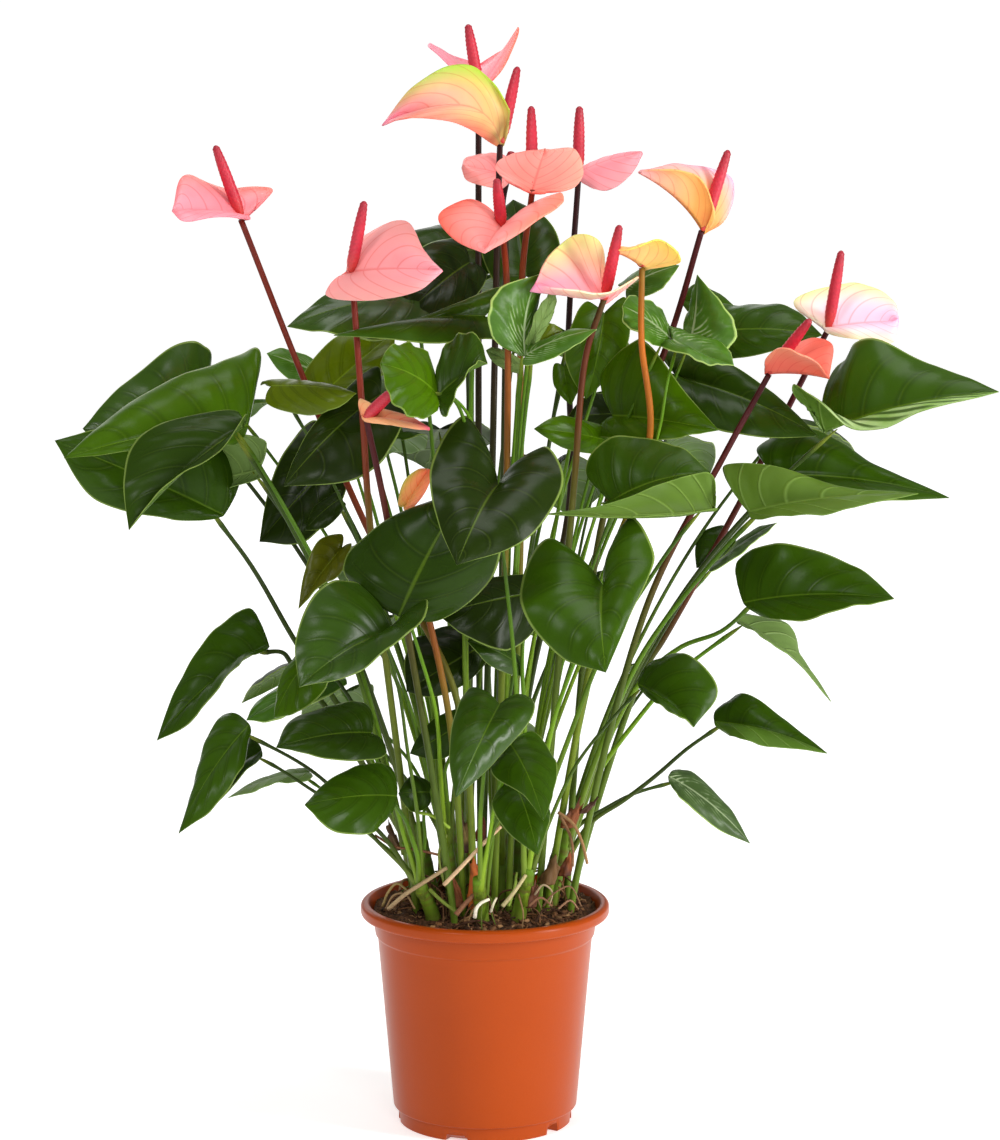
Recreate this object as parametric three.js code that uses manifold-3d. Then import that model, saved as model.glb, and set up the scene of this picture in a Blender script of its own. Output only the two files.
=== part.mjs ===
import * as THREE from "three";
import Module from "manifold-3d";

const wasm = await Module();
wasm.setup();

// A potted anthurium in millimetres. It stands on z = 0, its front faces -y and x runs to the right.

const clearance = 0.3;

const pot = {
  height: 154,
  rimRadius: 85,
  rimDepth: 8.5,
  bandTopRadius: 77,
  bandBottomRadius: 75,
  bandBottom: 132,
  bodyTopRadius: 73.5,
  bodyBottomRadius: 63,
  footRadius: 59.5,
  footHeight: 10,
  wall: 2.4,
  floor: 3,
  notchWidth: 8,
  notchHeight: 6,
  notchAngles: [75, 195, 255, 285, 345],
  turns: 28,
};

const soil = {
  bottom: 3.3,
  edgeTop: 141,
  edgeRadius: 72.6,
  shoulderRadius: 55,
  shoulderTop: 144,
  top: 146,
  holeDepth: 12,
  caneRoom: 1.2,
  stalkRoom: 0.8,
};

const leafThickness = 0.8;
const spatheThickness = 1;
const cane = { bottomRadius: 5.5, topRadius: 4, sides: 6, steps: 2 };
const petiole = { bottomRadius: 2.4, topRadius: 1.7, lean: 0.3, rise: 0.62, sides: 4, steps: 3 };
const stalk = { bottomRadius: 2.6, topRadius: 2, sides: 5, steps: 6 };
const spadix = { baseRadius: 1.8, bellyRadius: 4, tipRadius: 2, belly: 0.25, sides: 6, steps: 4 };

// Leaf and flower points are [x, z, depth]: x and z are read on the upright plane through the
// pot's axis, as seen from this eye, and depth is how far behind that plane the point lies.
const eye = new THREE.Vector3(10.3, -2900, 893);

// A shoot is a short cane: [base x, base y], [top x, top y, top z].
const shootRows = [
  [[-36, 14], [-46, 16, 205]],
  [[-42, -12], [-54, -14, 200]],
  [[-20, 30], [-26, 34, 215]],
  [[-20, -22], [-26, -30, 205]],
  [[-10, 6], [-12, 8, 230]],
  [[10, -8], [12, -10, 230]],
  [[20, 14], [26, 16, 225]],
  [[26, -16], [34, -22, 215]],
  [[22, -42], [30, -52, 190]],
  [[-2, -48], [-4, -62, 185]],
  [[-34, -38], [-44, -48, 180]],
  [[44, -4], [56, -6, 205]],
  [[42, 22], [54, 26, 195]],
  [[6, 44], [8, 54, 210]],
];

// Each leaf is its name, its shoot, where the leaf stalk meets the blade, the tip, the left side, the
// right side and how far the midrib arches. A side is its depth and its lobe, widest and shoulder
// points, or its widest point alone. Last come the points that its leaf stalk passes, where they show.
const leafRows = [
  ["left_glossy", 1, [-195, 492, 45], [-270, 480, 20],
    [30, [-196, 462], [-222, 458], [-252, 462]], [60, [-183, 532], [-202, 538], [-243, 509]], 8],
  ["left_light", 2, [-159, 482, -20], [-283, 460, -60],
    [-45, [-166, 470], [-198, 473], [-240, 465]], [0, [-152, 536], [-186, 524], [-238, 500]], 8],
  ["left_drooping", 2, [-162, 481, -45], [-240, 411, -90],
    [-75, [-160, 490], [-182, 461], [-214, 443]], [-60, [-166, 492], [-234, 473], [-243, 445]], 8],
  ["left_dark", 1, [-176, 421, 15], [-289, 472, 0],
    [-5, [-182, 419], [-214, 419], [-264, 434]], [20, [-164, 450], [-200, 482], [-258, 480]], 6,
    [[-95, 280, 24], [-127, 334, 24], [-160, 388, 18]]],
  ["left_pale", 1, [-152, 452, 0], [-205, 440, 40], [15, [-172, 476]], [15, [-172, 440]], 5],
  ["left_inner", 3, [-105, 455, 60], [-152, 403, 20],
    [30, [-92, 455], [-100, 425], [-122, 403]], [45, [-112, 486], [-134, 466], [-147, 432]], 6],
  ["left_mid_dark", 4, [-70, 503, -15], [-135, 441, -75],
    [-55, [-52, 498], [-60, 474], [-82, 447]], [-35, [-72, 522], [-104, 496], [-127, 463]], 8],
  ["left_mid_olive", 3, [-143, 509, -20], [-86, 504, -55], [-15, [-124, 513]], [-45, [-118, 490]], 3],
  ["left_mid_upright", 3, [-108, 504, 10], [-60, 545, 45], [25, [-105, 538]], [15, [-74, 512]], 4],
  ["left_small_tip", 3, [-112, 518, 60], [-146, 531, 50], [55, [-128, 512]], [65, [-126, 532]], 2],
  ["upper_left_glossy", 5, [-40, 570, 0], [-132, 549, -50],
    [-45, [-26, 556], [-62, 541], [-102, 543]], [0, [-30, 590], [-70, 588], [-108, 569]], 8],
  ["upper_mid_band", 5, [0, 556, -35], [-101, 543, -95],
    [-70, [14, 545], [-12, 540], [-60, 541]], [-45, [12, 575], [-18, 565], [-60, 549]], 6],
  ["upper_dark", 5, [-10, 592, 27], [-55, 555, -18], [-8, [-15, 562]], [12, [-46, 600]], 6],
  ["upper_dark_back", 5, [-4, 600, 70], [-80, 588, 70], [50, [-30, 577]], [90, [-24, 620]], 6],
  ["upper_upright", 5, [28, 583, 45], [19, 634, 100], [60, [-2, 598]], [60, [50, 605]], 4],
  ["young_folded", 6, [27, 529, -60], [40, 582, -35],
    [-55, [14, 534], [3, 558], [12, 572]], [-30, [36, 536], [46, 558], [46, 574]], 2],
  ["upper_edge", 6, [28, 530, -72], [75, 547, -110], [-65, [40, 545]], [-105, [50, 526]], 3],
  ["upper_small", 6, [25, 522, -50], [1, 533, -35], [-45, [12, 521]], [-40, [13, 533]], 1],
  ["twisted", 7, [126, 540, -20], [166, 525, -45],
    [-5, [120, 548], [142, 541], [158, 534]], [-45, [120, 535], [138, 531], [154, 525]], 3,
    [[60, 310, -8], [96, 400, -20], [117, 475, -34], [121, 506, -40]]],
  ["twisted_star", 7, [124, 543, -12], [91, 556, -40],
    [-40, [120, 538], [108, 542], [97, 546]], [0, [122, 556], [106, 568], [96, 562]], 2],
  ["twisted_right", 13, [137, 542, 5], [148, 579, 10],
    [10, [132, 548], [134, 562], [139, 572]], [20, [148, 530], [168, 546], [158, 566]], 2],
  ["right_back_dark", 7, [130, 514, 35], [224, 475, 0],
    [35, [118, 532], [152, 529], [192, 506]], [0, [118, 518], [140, 490], [180, 475]], 8],
  ["mid_bright", 7, [86, 489, 5], [157, 479, -45],
    [0, [78, 520], [102, 541], [136, 503]], [-30, [74, 478], [100, 474], [135, 476]], 6],
  ["upper_right_top", 7, [152, 545, 70], [226, 543, 45],
    [85, [148, 562], [174, 565], [208, 560]], [55, [148, 530], [172, 528], [204, 536]], 6],
  ["upper_right_far", 7, [165, 552, 100], [130, 567, 110], [90, [150, 546]], [115, [150, 576]], 4],
  ["striped_edge", 6, [95, 575, 60], [130, 590, 45], [65, [104, 588]], [45, [114, 572]], 3],
  ["bright_upright", 6, [80, 558, 37], [68, 500, 30], [32, [97, 543]], [22, [54, 538]], 6],
  ["small_hanging", 6, [53, 522, 50], [58, 496, 35], [40, [63, 514]], [42, [46, 512]], 3],
  ["mid_band", 7, [82, 472, 0], [33, 480, -35], [-20, [60, 465]], [-10, [60, 488]], 4],
  ["mid_dark", 7, [96, 490, 63], [55, 487, 38], [43, [76, 476]], [58, [76, 504]], 4],
  ["mid_right_dark", 8, [85, 430, -60], [152, 450, -70],
    [-40, [68, 452], [88, 474], [130, 467]], [-85, [78, 428], [100, 426], [135, 441]], 8],
  ["mid_right_light", 8, [155, 428, -85], [37, 423, -125],
    [-70, [152, 455], [132, 457], [90, 433]], [-110, [157, 426], [128, 421], [85, 420]], 6],
  ["centre_heart", 9, [9, 441, -126], [-19, 387, -191],
    [-136, [38, 466], [53, 446], [29, 405]], [-141, [-14, 488], [-37, 452], [-31, 415]], 10],
  ["front_dark", 4, [-58, 352, -120], [-12, 440, -105],
    [-98, [-86, 368], [-97, 392], [-66, 419]], [-120, [-32, 349], [5, 378], [10, 412]], 8],
  ["front_left_glossy", 11, [-63, 340, -128], [-126, 303, -173],
    [-163, [-38, 362], [-50, 341], [-86, 313]], [-133, [-84, 374], [-112, 370], [-128, 336]], 8],
  ["left_low_big", 1, [-146, 331, 25], [-223, 266, -15],
    [-15, [-150, 327], [-170, 316], [-196, 280]], [30, [-160, 357], [-182, 342], [-207, 307]], 8,
    [[-100, 280, 22], [-126, 318, 26], [-136, 328, 26]]],
  ["left_low_second", 11, [-160, 277, -45], [-209, 201, -85],
    [-75, [-160, 268], [-166, 246], [-190, 216]], [-45, [-174, 286], [-191, 266], [-200, 230]], 6],
  ["left_low_third", 11, [-152, 259, -20], [-204, 209, -30],
    [-40, [-152, 254], [-166, 240], [-188, 218]], [-10, [-158, 268], [-168, 252], [-188, 228]], 4],
  ["left_low_sliver", 11, [-120, 243, 40], [-175, 226, 60],
    [25, [-118, 240], [-138, 237], [-158, 231]], [60, [-119, 246], [-134, 245], [-155, 238]], 4],
  ["left_mid_striped", 2, [-95, 309, 10], [-162, 280, -15],
    [-20, [-94, 305], [-112, 297], [-142, 281]], [10, [-98, 315], [-124, 311], [-154, 295]], 4],
  ["left_mid_green", 2, [-112, 330, -25], [-143, 282, -55],
    [-55, [-102, 330], [-108, 305], [-126, 286]], [-30, [-114, 338], [-134, 318], [-142, 296]], 5],
  ["left_low_front", 11, [-77, 271, -75], [-142, 261, -115],
    [-105, [-66, 259], [-88, 252], [-118, 257]], [-75, [-80, 291], [-102, 292], [-133, 279]], 6],
  ["left_low_green", 11, [-60, 227, -85], [-123, 221, -130],
    [-125, [-65, 213], [-84, 200], [-109, 207]], [-85, [-64, 246], [-83, 250], [-110, 235]], 6],
  ["front_low_left", 10, [10, 291, -135], [-20, 226, -190],
    [-140, [30, 299], [33, 285], [8, 252]], [-150, [-8, 303], [-21, 283], [-24, 250]], 8],
  ["front_low_mid", 10, [17, 264, -115], [40, 210, -160],
    [-120, [34, 272], [48, 251], [47, 230]], [-135, [10, 257], [5, 243], [26, 228]], 6],
  ["front_low_bottom", 10, [20, 236, -95], [36, 186, -135],
    [-105, [33, 238], [45, 219], [42, 203]], [-110, [10, 234], [5, 220], [17, 201]], 6],
  ["front_right_big", 9, [80, 373, -125], [82, 313, -190],
    [-135, [98, 420], [113, 394], [96, 347]], [-145, [42, 406], [24, 362], [52, 324]], 10],
  ["right_upper", 12, [228, 477, -20], [345, 505, -60],
    [2, [232, 521], [252, 541], [300, 525]], [-55, [208, 511], [250, 481], [300, 494]], 8],
  ["right_middle_dark", 12, [195, 448, 21], [313, 433, -4],
    [31, [183, 468], [216, 481], [263, 457]], [-14, [184, 444], [215, 430], [265, 431]], 8],
  ["right_middle_light", 12, [178, 423, -35], [292, 436, -80],
    [-30, [161, 454], [186, 456], [240, 441]], [-75, [180, 419], [212, 421], [252, 427]], 6],
  ["right_small_dark", 13, [165, 405, 60], [143, 385, 50], [50, [160, 393]], [62, [147, 410]], 2],
  ["right_sliver", 13, [153, 386, 80], [197, 416, 100], [95, [170, 404]], [80, [176, 398]], 2],
  ["right_lower_bright", 13, [175, 361, -30], [277, 364, -70],
    [-25, [171, 391], [199, 401], [249, 387]], [-70, [185, 354], [210, 349], [248, 357]], 8,
    [[100, 300, 4], [130, 328, -6], [160, 342, -20]]],
  ["right_lower_narrow", 13, [169, 350, 20], [235, 293, 10],
    [40, [178, 354], [205, 346], [217, 322]], [0, [173, 346], [189, 338], [211, 321]], 6],
  ["right_low_dark", 9, [104, 305, -60], [142, 275, -95],
    [-60, [112, 319], [133, 328], [158, 302]], [-90, [108, 299], [118, 291], [134, 283]], 5],
  ["right_low_mid", 13, [156, 279, -20], [233, 257, -50],
    [-15, [161, 289], [174, 299], [203, 281]], [-50, [161, 273], [176, 266], [204, 261]], 6,
    [[72, 208, 10], [95, 225, 2], [120, 245, -8], [140, 262, -14]]],
  ["right_low_bottom", 13, [125, 241, 40], [181, 194, 30],
    [50, [130, 246], [144, 242], [166, 220]], [25, [126, 236], [134, 226], [156, 206]], 5,
    [[66, 208, 22], [80, 215, 24], [100, 228, 32]]],
  ["centre_low_dark", 9, [32, 368, -50], [-32, 353, -80],
    [-75, [38, 350], [14, 328], [-14, 339]], [-55, [42, 378], [4, 378], [-18, 368]], 6],
  ["centre_low_glossy", 10, [24, 318, -50], [-12, 335, -70], [-65, [5, 317]], [-55, [6, 336]], 4],
  ["centre_left_dark", 4, [-4, 330, -25], [-53, 300, -55], [-45, [-22, 300]], [-30, [-44, 340]], 6],
  ["centre_low_left", 4, [-14, 280, -40], [-51, 257, -60], [-55, [-22, 257]], [-40, [-34, 281]], 4],
  ["left_low_small", 11, [-38, 230, -45], [-59, 229, -60], [-55, [-48, 216]], [-45, [-48, 242]], 3],
  ["olive_young", 4, [-97, 398, -60], [-126, 357, -85],
    [-80, [-90, 402], [-98, 382], [-113, 371]], [-65, [-96, 408], [-112, 404], [-122, 381]], 4],
  ["left_edge_small", 3, [-98, 432, 10], [-121, 411, 0], [0, [-104, 415]], [15, [-110, 431]], 2],
  ["back_left_high", 3, [-75, 470, 110], [-110, 445, 185], [108, [-112, 470]], [142, [-42, 470]], 6],
  ["back_left_middle", 3, [-70, 395, 100], [-95, 372, 160], [100, [-102, 396]], [125, [-48, 396]], 5],
  ["back_left_low", 3, [-80, 345, 105], [-95, 320, 165], [108, [-108, 346]], [125, [-58, 346]], 5],
  ["back_top", 14, [-15, 575, 120], [-30, 548, 200], [130, [-52, 574]], [142, [18, 574]], 6],
  ["back_centre", 14, [0, 440, 130], [5, 405, 205], [146, [-36, 438]], [144, [38, 438]], 6],
  ["back_right_low", 14, [68, 375, 120], [75, 345, 190], [136, [36, 374]], [132, [103, 374]], 6],
  ["back_low", 14, [10, 270, 115], [15, 240, 170], [127, [-14, 270]], [126, [36, 270]], 4],
  ["back_right_high", 7, [100, 500, 115], [150, 478, 180], [152, [84, 500]], [104, [134, 502]], 6],
  ["back_right_middle", 7, [120, 470, 90], [150, 445, 150], [112, [98, 470]], [84, [150, 470]], 5],
  ["back_upper_left", 3, [-60, 515, 120], [-95, 495, 190], [117, [-100, 511]], [150, [-34, 511]], 6],
  ["back_upper_right", 14, [55, 545, 130], [80, 520, 205], [157, [25, 540]], [133, [95, 540]], 6],
  ["back_mid_left", 14, [-30, 480, 140], [-38, 452, 215], [150, [-69, 474]], [160, [5, 474]], 6],
  ["back_mid_right", 14, [45, 455, 150], [60, 420, 220], [172, [12, 448]], [156, [84, 448]], 6],
  ["back_far_left", 3, [-165, 495, 60], [-205, 470, 105], [53, [-191, 490]], [85, [-155, 490]], 5],
  ["back_far_right", 13, [200, 485, 75], [250, 462, 115], [105, [192, 480]], [61, [227, 480]], 5],
  ["back_low_left", 3, [-95, 300, 100], [-120, 272, 150], [100, [-120, 294]], [120, [-80, 294]], 5],
  ["back_low_right", 13, [115, 315, 85], [140, 288, 130], [105, [101, 310]], [83, [139, 310]], 5],
  ["back_lower_centre", 14, [30, 365, 140], [40, 335, 205], [158, [0, 359]], [148, [64, 359]], 6],
  ["back_low_far_left", 3, [-125, 318, 70], [-165, 292, 100], [60, [-145, 313]], [92, [-121, 313]], 4],
];

// Each flower is where its stalk meets the spathe, the spathe's tip, left side, right side, arch and
// swell, and the spadix's tip.
const bloomRows = [
  [[-4, 708, 48], [-3, 724, 128],
    [83, [-16, 716], [-37, 737], [-24, 730]], [83, [8, 716], [24, 747], [12, 733]], 0, -2, [-11, 750, 53]],
  [[11, 668, -1], [-68, 683, -41],
    [24, [16, 690], [-10, 700], [-52, 694]], [-56, [4, 674], [-22, 686], [-54, 688]], -34, 0, [22, 722, 24]],
  [[31, 639, -48], [42, 667, 12],
    [-13, [50, 642], [65, 651], [60, 666]], [-18, [14, 647], [8, 657], [20, 665]], 0, -3, [31, 696, -33]],
  [[18, 648, 24], [-15, 655, 14],
    [9, [12, 642], [0, 643], [-12, 647]], [34, [12, 664], [0, 664], [-12, 662]], 2, 3, [18, 666, 18]],
  [[12, 616, -50], [0, 598, -120],
    [-75, [48, 637], [51, 632], [24, 612]], [-80, [-7, 634], [-31, 622], [-16, 605]], 2, 2, [8, 648, -60]],
  [[60, 650, 50], [105, 664, 40],
    [75, [66, 654], [78, 658], [94, 663]], [25, [66, 645], [81, 640], [97, 650]], 3, 2, [63, 696, 50]],
  [[147, 612, -10], [103, 651, -50],
    [-45, [141, 614], [131, 624], [113, 642]], [10, [159, 620], [165, 645], [135, 654]], 0, -2, [162, 667, -15]],
  [[227, 547, 28], [277, 552, 18],
    [53, [207, 566], [244, 578], [273, 567]], [8, [231, 544], [252, 540], [273, 538]], 2, 3, [238, 600, 13]],
  [[188, 517, -5], [231, 514, -30],
    [15, [194, 529], [213, 540], [232, 538]], [-34, [196, 515], [211, 518], [222, 517]], 2, 0, [218, 554, -32]],
  [[-160, 620, -30], [-208, 626, -70],
    [-70, [-156, 621], [-178, 623], [-202, 621]], [-15, [-141, 641], [-172, 643], [-200, 650]], 3, 2, [-179, 670, -35]],
  [[-91, 585, -70], [-28, 586, -115],
    [-60, [-86, 604], [-54, 621], [-40, 599]], [-105, [-106, 571], [-72, 567], [-43, 574]], 3, 2, [-80, 633, -85]],
  [[82, 567, -50], [34, 577, -95],
    [-85, [103, 582], [80, 572], [54, 574]], [-45, [77, 606], [62, 611], [42, 594]], 0, -6, [90, 617, -75]],
  [[107, 588, -45], [131, 596, -70],
    [-35, [84, 600], [104, 606], [124, 603]], [-70, [91, 591], [110, 585], [124, 589]], 2, 3, [107, 612, -48]],
  [[-82, 487, -107], [-37, 479, -137],
    [-107, [-84, 500], [-72, 495], [-48, 487]], [-130, [-80, 485], [-66, 483], [-46, 480]], 2, 2, [-60, 507, -136]],
  [[-53, 427, -87], [-36, 452, -97],
    [-87, [-54, 444]], [-102, [-42, 434]], 1, 2, [-46, 445, -110]],
];

// Where each flower's stalk leaves the soil, and the points that it passes.
const stalkRows = [
  { base: [-3, 22], via: [[-4, 400, 36], [-4, 640, 46]] },
  { base: [-2, -6], via: [[4, 400, -4], [9, 630, 0]] },
  { base: [16, -24], via: [[24, 400, -18], [25, 581, -24]] },
  { base: [8, 26], via: [[12, 400, 20], [14, 600, 18], [12, 630, 38]] },
  { base: [6, -32], via: [[14, 400, -48], [15, 576, -72]] },
  { base: [14, 34], via: [[30, 300, 60], [57, 430, 75], [56, 541, 60]] },
  { base: [56, 8], via: [[80, 420, 2], [125, 545, 10]] },
  { base: [60, 30], via: [[106, 311, 46], [122, 338, 46], [174, 434, 44], [205, 497, 40]] },
  { base: [58, -18], via: [[110, 360, -22], [160, 460, -16]] },
  { base: [-8, -38], via: [[-20, 298, -66], [-79, 412, -30], [-119, 508, 0]] },
  { base: [-46, -24], via: [[-77, 411, -66], [-82, 490, -86]] },
  { base: [36, -30], via: [[60, 440, -46], [68, 530, -48]] },
  { base: [42, -18], via: [[84, 380, -32], [111, 475, -42], [105, 540, -52]] },
  { base: [-20, -48], via: [[-66, 420, -92]] },
  { base: [-14, -36], via: [[-24, 280, -70], [-44, 380, -80]] },
];

const leafStations = { lobe: [0.6, -0.22], widest: [1, 0.2], shoulder: [0.7, 0.6] };
const spatheStations = { lobe: [0.5, -0.14], widest: [1, 0.25], shoulder: [0.66, 0.74] };

function seen([x, z, depth]) {
  const onPlane = new THREE.Vector3(x, 0, z);
  return onPlane.sub(eye).multiplyScalar(1 + depth / -eye.y).add(eye);
}

function mix(a, b, t) {
  return a.clone().lerp(b, t);
}

// A blade's shape: its midrib, and each margin as a smooth curve through the side's points.
function bladeShape(attach, tip, left, right, arch, stations) {
  const start = seen(attach);
  const end = seen(tip);
  const sides = { left, right };
  const widest = {};
  for (const side of ["left", "right"]) {
    const point = sides[side].length > 2 ? sides[side][2] : sides[side][1];
    widest[side] = seen([point[0], point[1], sides[side][0]]);
  }
  const across = widest.right.clone().sub(widest.left);
  const normal = across.cross(end.clone().sub(start)).normalize();
  const midrib = (v) => mix(start, end, v).addScaledVector(normal, v > 0 ? arch * 4 * v * (1 - v) : 0);
  const margins = {};
  for (const side of ["left", "right"]) {
    const step = widest[side].clone().sub(midrib(stations.widest[1]));
    const knots = Object.values(stations).map(([u, v], i) => {
      const point = midrib(v).addScaledVector(step, u);
      const read = sides[side].length > 2 ? sides[side][1 + i] : null;
      return read && i !== 1 ? seen([read[0], read[1], point.y]) : point;
    });
    margins[side] = smoothThrough([start, ...knots, end]);
  }
  const ribStops = [0, 0, stations.widest[1], stations.shoulder[1], 1];
  const ribAt = (k) => {
    const i = Math.min(3, Math.floor(k));
    return THREE.MathUtils.lerp(ribStops[i], ribStops[i + 1], k - i);
  };
  return { normal, midrib, margins, ribAt };
}

// A curve through the points, where k = 0, 1, 2 ... are the points themselves.
function smoothThrough(points) {
  const last = points.length - 1;
  const gaps = [];
  for (let i = 0; i < last; i += 1) {
    gaps.push(Math.sqrt(Math.max(1, points[i].distanceTo(points[i + 1]))));
  }
  const slope = (i) => points[i + 1].clone().sub(points[i]).divideScalar(gaps[i]);
  const tangent = (i) => {
    if (i === 0) return slope(0);
    if (i === last) return slope(last - 1);
    const before = slope(i - 1).multiplyScalar(gaps[i]);
    return before.addScaledVector(slope(i), gaps[i - 1]).divideScalar(gaps[i - 1] + gaps[i]);
  };
  return (k) => {
    const i = Math.min(last - 1, Math.floor(k));
    const t = k - i;
    const point = points[i].clone().multiplyScalar(2 * t ** 3 - 3 * t ** 2 + 1);
    point.addScaledVector(tangent(i), gaps[i] * (t ** 3 - 2 * t ** 2 + t));
    point.addScaledVector(points[i + 1], 3 * t ** 2 - 2 * t ** 3);
    return point.addScaledVector(tangent(i + 1), gaps[i] * (t ** 3 - t ** 2));
  };
}

// A solid from corner points and triangles that face out.
function solid(points, triangles) {
  const vertProperties = new Float32Array(points.flatMap((p) => [p.x, p.y, p.z]));
  const triVerts = new Uint32Array(triangles);
  return new wasm.Manifold(new wasm.Mesh({ numProp: 3, vertProperties, triVerts }));
}

// A blade with a top and a bottom face. bands is how many strips lie between the midrib and a margin,
// and swell is how far each half bulges towards the top face.
function bladeSolid(shape, thickness, stops, bands, swell) {
  const points = [];
  const triangles = [];
  const known = new Map();
  const corner = (key, place) => {
    if (!known.has(key)) {
      known.set(key, points.length);
      points.push(place());
    }
    return known.get(key);
  };
  const at = (side, k, band) => {
    if (k === 0) return corner("start", () => shape.midrib(0));
    if (k === 4) return corner("end", () => shape.midrib(1));
    const rib = shape.ribAt(k);
    if (rib === 0 && band < bands) return at(side, 0, 0);
    if (band === 0) return corner(`rib ${k}`, () => shape.midrib(rib));
    return corner(`${side} ${k} ${band}`, () => {
      const w = band / bands;
      const place = mix(shape.midrib(rib), shape.margins[side](k), w);
      return place.addScaledVector(shape.normal, swell * 4 * w * (1 - w));
    });
  };
  for (const side of ["right", "left"]) {
    for (let i = 0; i + 1 < stops.length; i += 1) {
      for (let band = 0; band < bands; band += 1) {
        const a = at(side, stops[i], band);
        const b = at(side, stops[i + 1], band);
        const c = at(side, stops[i + 1], band + 1);
        const d = at(side, stops[i], band + 1);
        const faces = side === "right" ? [[a, d, c], [a, c, b]] : [[a, c, d], [a, b, c]];
        for (const face of faces) {
          if (new Set(face).size === 3) triangles.push(face);
        }
      }
    }
  }
  return thicken(points, triangles, thickness);
}

// Gives a sheet its thickness: the sheet is copied to both sides and its open edges are joined.
function thicken(points, triangles, thickness) {
  const normals = points.map(() => new THREE.Vector3());
  const edges = new Map();
  for (const [a, b, c] of triangles) {
    const one = points[b].clone().sub(points[a]);
    const face = one.cross(points[c].clone().sub(points[a]));
    for (const i of [a, b, c]) normals[i].add(face);
    for (const [i, j] of [[a, b], [b, c], [c, a]]) edges.set(`${i} ${j}`, [i, j]);
  }
  const half = thickness / 2;
  const top = points.map((p, i) => p.clone().addScaledVector(normals[i].normalize(), half));
  const bottom = points.map((p, i) => p.clone().addScaledVector(normals[i], -half));
  const under = points.length;
  const faces = triangles.flatMap(([a, b, c]) => [a, b, c, under + a, under + c, under + b]);
  for (const [i, j] of edges.values()) {
    if (!edges.has(`${j} ${i}`)) faces.push(j, i, under + i, j, under + i, under + j);
  }
  return solid([...top, ...bottom], faces);
}

// A round stem through the curve's points at the stops, which run from 0 at its start to 1 at its end.
function stemSolid(curve, stops, radiusAt, sides) {
  const points = [];
  const triangles = [];
  const side = new THREE.Vector3(1, 0, 0);
  for (const stop of stops) {
    const centre = curve.getPoint(stop);
    const along = curve.getTangent(stop);
    side.addScaledVector(along, -side.dot(along)).normalize();
    const other = along.clone().cross(side);
    for (let j = 0; j < sides; j += 1) {
      const turn = (j / sides) * 2 * Math.PI;
      const out = side.clone().multiplyScalar(Math.cos(turn)).addScaledVector(other, Math.sin(turn));
      points.push(centre.clone().addScaledVector(out, radiusAt(stop)));
    }
  }
  const last = (stops.length - 1) * sides;
  for (let i = 0; i < last; i += sides) {
    for (let j = 0; j < sides; j += 1) {
      const a = i + j;
      const b = i + ((j + 1) % sides);
      triangles.push(a, b, b + sides, a, b + sides, a + sides);
    }
  }
  for (let j = 1; j + 1 < sides; j += 1) {
    triangles.push(0, j + 1, j, last, last + j, last + j + 1);
  }
  return solid(points, triangles);
}

function evenStops(from, steps) {
  return Array.from({ length: steps + 1 }, (_, i) => from + ((1 - from) * i) / steps);
}

function taper(from, to) {
  return (t) => THREE.MathUtils.lerp(from, to, t);
}

function latheSolid(profile, turns) {
  const outline = profile.map(([x, y]) => new THREE.Vector2(x, y));
  const lathe = new THREE.LatheGeometry(outline, turns);
  lathe.rotateX(Math.PI / 2);
  return fromGeometry(lathe);
}

// A three.js geometry as a solid, with the corners that share a place merged.
function fromGeometry(geometry) {
  const position = geometry.getAttribute("position");
  const points = [];
  const known = new Map();
  const corners = [];
  for (let i = 0; i < position.count; i += 1) {
    const point = new THREE.Vector3().fromBufferAttribute(position, i);
    const key = point.toArray().map((value) => Math.round(value * 1e4)).join(" ");
    if (!known.has(key)) {
      known.set(key, points.length);
      points.push(point);
    }
    corners.push(known.get(key));
  }
  const index = geometry.getIndex().array;
  const triangles = [];
  for (let i = 0; i < index.length; i += 3) {
    const face = [corners[index[i]], corners[index[i + 1]], corners[index[i + 2]]];
    if (new Set(face).size === 3) triangles.push(...face);
  }
  return solid(points, triangles);
}

function makePot() {
  const inner = (radius) => radius - pot.wall;
  const lipBottom = pot.height - pot.rimDepth;
  const outside = [
    [0, 0],
    [pot.footRadius, 0],
    [pot.footRadius, pot.footHeight],
    [pot.bodyBottomRadius, pot.footHeight + 1],
    [pot.bodyTopRadius, pot.bandBottom - 1],
    [pot.bandBottomRadius, pot.bandBottom],
    [pot.bandTopRadius, lipBottom],
    [pot.rimRadius - 1, lipBottom],
    [pot.rimRadius, lipBottom + 1.5],
    [pot.rimRadius, pot.height - 2],
    [pot.rimRadius - 2, pot.height],
  ];
  const inside = [
    [inner(pot.bandTopRadius) + 2, pot.height],
    [inner(pot.bandTopRadius), pot.height - 3],
    [inner(pot.bandBottomRadius) - 1, pot.bandBottom],
    [inner(pot.footRadius), pot.floor + 4],
    [inner(pot.footRadius) - 3, pot.floor],
    [0, pot.floor],
  ];
  let body = latheSolid([...outside, ...inside], pot.turns);
  for (const degrees of pot.notchAngles) {
    const notch = new THREE.BoxGeometry(pot.notchWidth, pot.notchWidth, 2 * pot.notchHeight);
    notch.translate(pot.footRadius + 3, 0, 0);
    notch.rotateZ(THREE.MathUtils.degToRad(degrees));
    body = body.subtract(fromGeometry(notch));
  }
  return body;
}

function makeSoil(holes) {
  const inner = (radius) => radius - pot.wall - clearance;
  const profile = [
    [0, soil.bottom],
    [inner(pot.footRadius) - 3, soil.bottom],
    [inner(pot.footRadius), soil.bottom + 4],
    [inner(pot.bandBottomRadius) - 1, pot.bandBottom],
    [soil.edgeRadius, soil.edgeTop],
    [soil.shoulderRadius, soil.shoulderTop],
    [0, soil.top],
  ];
  return holes.reduce((body, hole) => body.subtract(hole), latheSolid(profile, pot.turns));
}

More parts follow.
